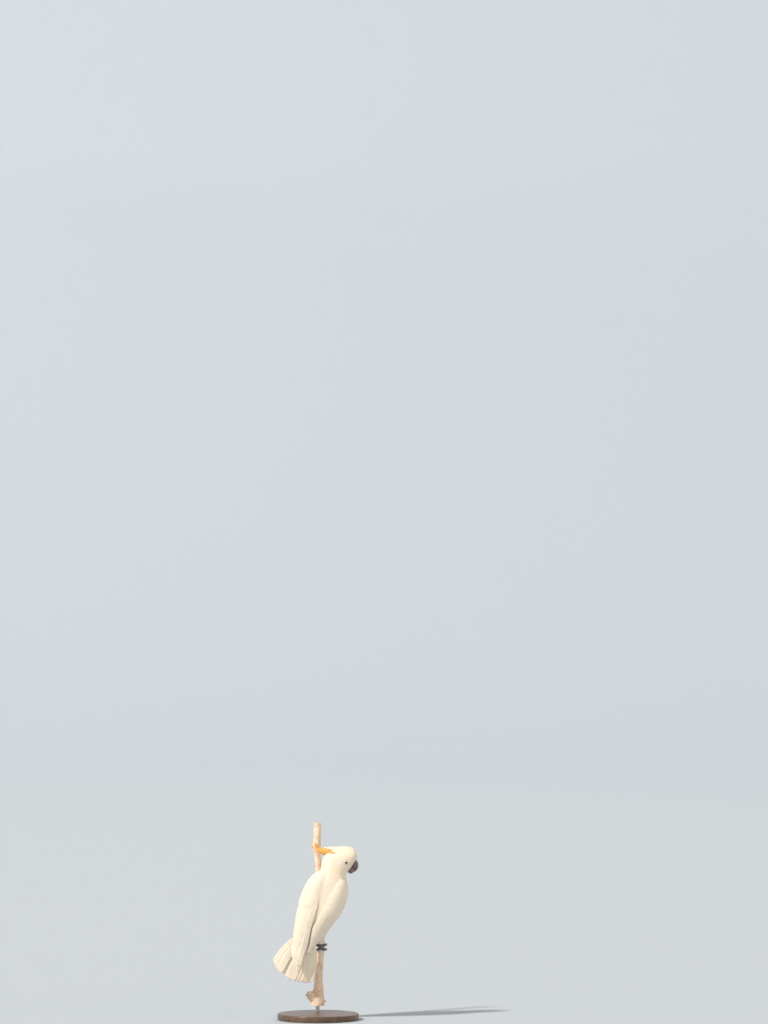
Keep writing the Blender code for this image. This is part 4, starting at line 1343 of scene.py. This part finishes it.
def join(parts):
    """One list of points and faces from several."""
    starts = np.cumsum([0] + [len(p) for p, _ in parts])
    faces = [f + start for start, (_, f) in zip(starts, parts)]
    return np.concatenate([p for p, _ in parts]), np.concatenate(faces)


def make_foot(leg, look, claw_look):
    ankle, grip, turn = LEGS[leg]
    ankle = np.array(ankle) + np.array([0, PERCH_Y, 0])
    palm = round_stem(grip, 0, GAP + PALM_RADIUS)

    def scutes(pitch, deep):
        return lambda i, a: 1 - deep * ((i % pitch) / pitch) ** 2 + 0.015 * math.sin(5 * a + i)

    shares = np.linspace(-0.12, 1, 44)
    shank = [ankle * (1 - t) + palm * t for t in shares]
    radii = [TARSUS_RADIUS * (1.12 - 0.12 * math.sin(math.pi * max(t, 0))) for t in shares]
    parts = [sweep(shank, radii, 20, scutes(4, 0.09))]
    ball = np.linspace(-1, 1, 15)
    parts.append(sweep([palm + np.array([0, 0, PALM_RADIUS * t]) for t in ball],
                       [PALM_RADIUS * math.sqrt(max(1 - t * t, 0.01)) for t in ball], 22))
    claws = []
    for side, lift, whole in TOES.values():
        points, radii = [], []
        for a in np.linspace(2, whole + 3, 56):
            share = min(a / whole, 1)
            knuckle = 0.22 * math.cos(3 * 2 * math.pi * share)
            radii.append(TOE_ROOT + (TOE_END - TOE_ROOT) * share + knuckle * (1 - share))
            rise = lift * min(1, a / 35) + 1.6 * share * np.sign(lift)
            points.append(round_stem(grip + rise, -turn * side * a, GAP + radii[-1]))
        parts.append(sweep(points, radii, 16, scutes(4, 0.1)))
        points, radii = [], []
        rise = lift + 1.6 * np.sign(lift)
        for t in np.linspace(-0.12, 1, 22):
            radius = CLAW_ROOT + (CLAW_TIP - CLAW_ROOT) * max(t, 0) ** 1.2
            reach = GAP + radius + 1.4 * math.sin(math.pi * (0.25 + 0.75 * t)) * (1 - 0.3 * t)
            points.append(round_stem(grip + rise, -turn * side * (whole + 3.2 + CLAW_SWEEP * t), reach))
            radii.append(radius if t < 0.98 else 0.15)
        claws.append(sweep(points, radii, 14))
    put(f"foot_{leg}", *join(parts), look, "foot_skin", (f"foot_{leg}",))
    put(f"claws_{leg}", *join(claws), claw_look, "claw", [f"claw_{leg}_{toe}" for toe in TOES])


# ---- stem and stand

TWIGS = [                    # height, way, length, root and tip radius
    (40, (1, 0.12, 0.56), 27, 13.5, 6), (32, (-1, 0.2, 0.25), 18.5, 4, 1.4),
    (369, (1, 0.1, 0.35), 12, 6, 3.4), (322, (-0.9, 0.5, 0.4), 13, 4.5, 2),
]


STEM_TOP = 423.6


def bark_relief(x, y, z):
    """Outward shift of the bark at a point, in millimetres."""
    big = noise.noise(Vector((x * 0.11, y * 0.11, z * 0.05)))
    small = noise.noise(Vector((x * 0.5, y * 0.5, z * 0.22 + 9)))
    fine = noise.noise(Vector((x * 1.3, y * 1.3, z * 0.9 + 4)))
    low = fade(56, 92, z)
    folds = math.sin(z * 1.15 + 2.2 * noise.noise(Vector((x * 0.12, y * 0.12, z * 0.04))))
    patchy = 0.5 + 0.5 * noise.noise(Vector((x * 0.09 + 5, y * 0.09, z * 0.07)))
    return 0.55 * big + 0.4 * small + 0.18 * fine + low * 0.3 * folds * patchy


def limb(points, radii, sides, jag, seed_z):
    """Bark-covered bar with a broken far end: grid of points, and 1 in the rows of bare wood."""
    rows, n = [], len(points)
    for i, (p, way, side, up) in enumerate(frames(np.array(points, float), (0, 1, 0))):
        r, row = radii[i], []
        for _, c, s in turns(sides):
            out = side * c + up * s
            q = p + out * r
            q = q + out * bark_relief(*q) * min(1, r / 5)
            tooth = abs(noise.noise(Vector((3 * c, 3 * s, seed_z)))) * jag
            row.append(q - way * tooth * step(0.86, 1, i / (n - 1)))
        rows.append(row)
    end = np.mean(rows[-1], axis=0)
    for share in (0.97, 0.8, 0.55, 0.3, 0.08):
        rows.append([end + (q - end) * share - way * 1.2 * (1 - share)
                     + way * 0.8 * noise.noise(Vector(q * 0.9) * share) for q in rows[n - 1]])
    return np.array(rows), np.repeat([0] * n + [1] * 5, sides)


def make_perch(look):
    points, radii = [], []
    for z in np.linspace(28.2, STEM_TOP - 0.6, 420):
        _, x, r = row_at(STEM, z)
        near_grip = 1 - min(1, min(abs(z - grip) for _, grip, _ in LEGS.values()) / 14)
        points.append((x, PERCH_Y, z))
        radii.append(r - 0.35 - 0.25 * near_grip)
    sides = 72
    grid, raw = limb(points, radii, sides, 7, 0)
    foot = grid[0].mean(0)                          # sawn lower end
    caps = [[foot + (q - foot) * s for q in grid[0]] for s in (0.05, 0.4, 0.75, 0.96)]
    grid = np.concatenate([np.array(caps), grid])
    grid[:, :, 2] = np.minimum(grid[:, :, 2], STEM_TOP)
    parts = [(grid.reshape(-1, 3), grid_faces(len(grid), sides, closed=True))]
    raws = [np.ones(4 * sides), raw]
    for z, way, length, root, tip in TWIGS:
        start = np.array([row_at(STEM, z)[1], PERCH_Y, z])
        shares = np.linspace(0, 1, 34)
        points = [start + unit(np.array(way)) * length * t + np.array([0, 0, 2 * t * t]) for t in shares]
        size = np.interp(shares, (0, 0.4, 0.75, 1), (root, root * 0.85, (root + tip) / 2, tip))
        grid, raw = limb(points, size - 0.3, 40, tip * 1.1, z)
        parts.append((grid.reshape(-1, 3), grid_faces(len(grid), 40, closed=True)))
        raws.append(raw)
    put("perch", *join(parts), look, "bark", ("perch",), raw=np.concatenate(raws))


def lathe(name, profile, centre, look, slot, sides=160):
    """Turned piece from (radius, z) steps."""
    points = [(centre[0] + max(r, 0.02) * c, centre[1] + max(r, 0.02) * s, z)
              for r, z in profile for _, c, s in turns(sides)]
    obj = put(name, points, grid_faces(len(profile), sides, closed=True), look, slot, (name,))
    obj.data.set_sharp_from_angle(angle=math.radians(35))


def make_stand(wood, steel):
    low = [(0, 0), (60, 0), (86.4, 0), (87.5, 0.5), (87.9, 1.6), (87.9, 3.2), (87.3, 3.7),
           (87.3, 4.3), (87.9, 4.8), (87.9, 8)]
    edge = [(85.5 + 2.4 * math.cos(math.radians(t)), 11.5 + 2.4 * math.sin(math.radians(t)))
            for t in range(0, 91, 10)]
    top = [(80, 13.95), (60, 13.95), (30, 13.95), (0, 13.95)]
    lathe("stand_base", low + edge + top, (0, 0), wood, "stand_wood")
    lathe("stand_rod", [(0, 14), (3.9, 14), (4.4, 14.5), (4.4, 27.2), (4, 27.6), (0, 27.9)],
          (1.5, PERCH_Y), steel, "stand_metal", 64)


FLOOR_REACH, FLOOR_BEND = 14, 3            # metres to where it bends up, and the bend's radius


def make_floor(look):
    """Pale floor that sweeps up into a backdrop all round, toned so that it looks even."""
    profile = [(r, 0, 0) for r in (0.002, 0.3, 1, 3, 7, 11, FLOOR_REACH)]
    for t in range(6, 91, 6):
        c, s = math.cos(math.radians(t)), math.sin(math.radians(t))
        profile.append((FLOOR_REACH + FLOOR_BEND * s, FLOOR_BEND * (1 - c), t))
    profile += [(FLOOR_REACH + FLOOR_BEND, z, 90) for z in (5, 7)]
    points, tint = [], []
    for r, z, slope in profile:
        lean, level = math.sin(math.radians(slope)), math.cos(math.radians(slope))
        for _, c, s in turns(128):
            points.append((r * c, r * s, z))
            key = KEY_ENERGY / math.pi * max(np.array([-c * lean, -s * lean, level]) @ KEY_TOWARD, 0)
            tint.append([min(want / (key * warm + round_light), 0.95)
                         for want, warm, round_light in zip(BACKDROP, KEY_COLOUR, ROUND_LIGHT)])
    mesh = bpy.data.meshes.new("floor")
    mesh.from_pydata(points, [], grid_faces(len(profile), 128, closed=True).tolist())
    mesh.shade_smooth()
    paint(mesh, np.array(tint))
    mesh.materials.append(look)
    add("floor", mesh)


# ---- run

set_camera()
set_light()
FEATHER = feather_look()
skin = make_skin()
unwrap(skin)
guide = Guide(skin)
make_coat(guide, FEATHER)
skin.data.transform(Matrix.Scale(MM, 4))
paint(skin.data, marking(guide.p))
skin.data.materials.append(skin_look())
piece(skin, FLESH + ("wing_left", "wing_right"))
for side in ("left", "right"):
    make_wing(side, FEATHER)
make_tail(FEATHER)
make_crest(FEATHER, guide)

HORN = horn_look("bill", (0.115, 0.07, 0.078), (0.27, 0.185, 0.21))
CLAW = horn_look("claw", (0.035, 0.032, 0.034), (0.1, 0.09, 0.09))
EYE, LID, FOOT = eye_look(), lid_look(), foot_look()
make_bill("bill_upper", BILL_UPPER, HORN, "bill", True)
make_bill("bill_lower", BILL_LOWER, HORN, "bill", False)
for side in ("left", "right"):
    make_eye(side, EYE)
    make_lids(side, guide, LID)
    make_foot(side, FOOT, CLAW)
make_perch(bark_look())
make_stand(wood_look(), steel_look())
make_floor(floor_look())
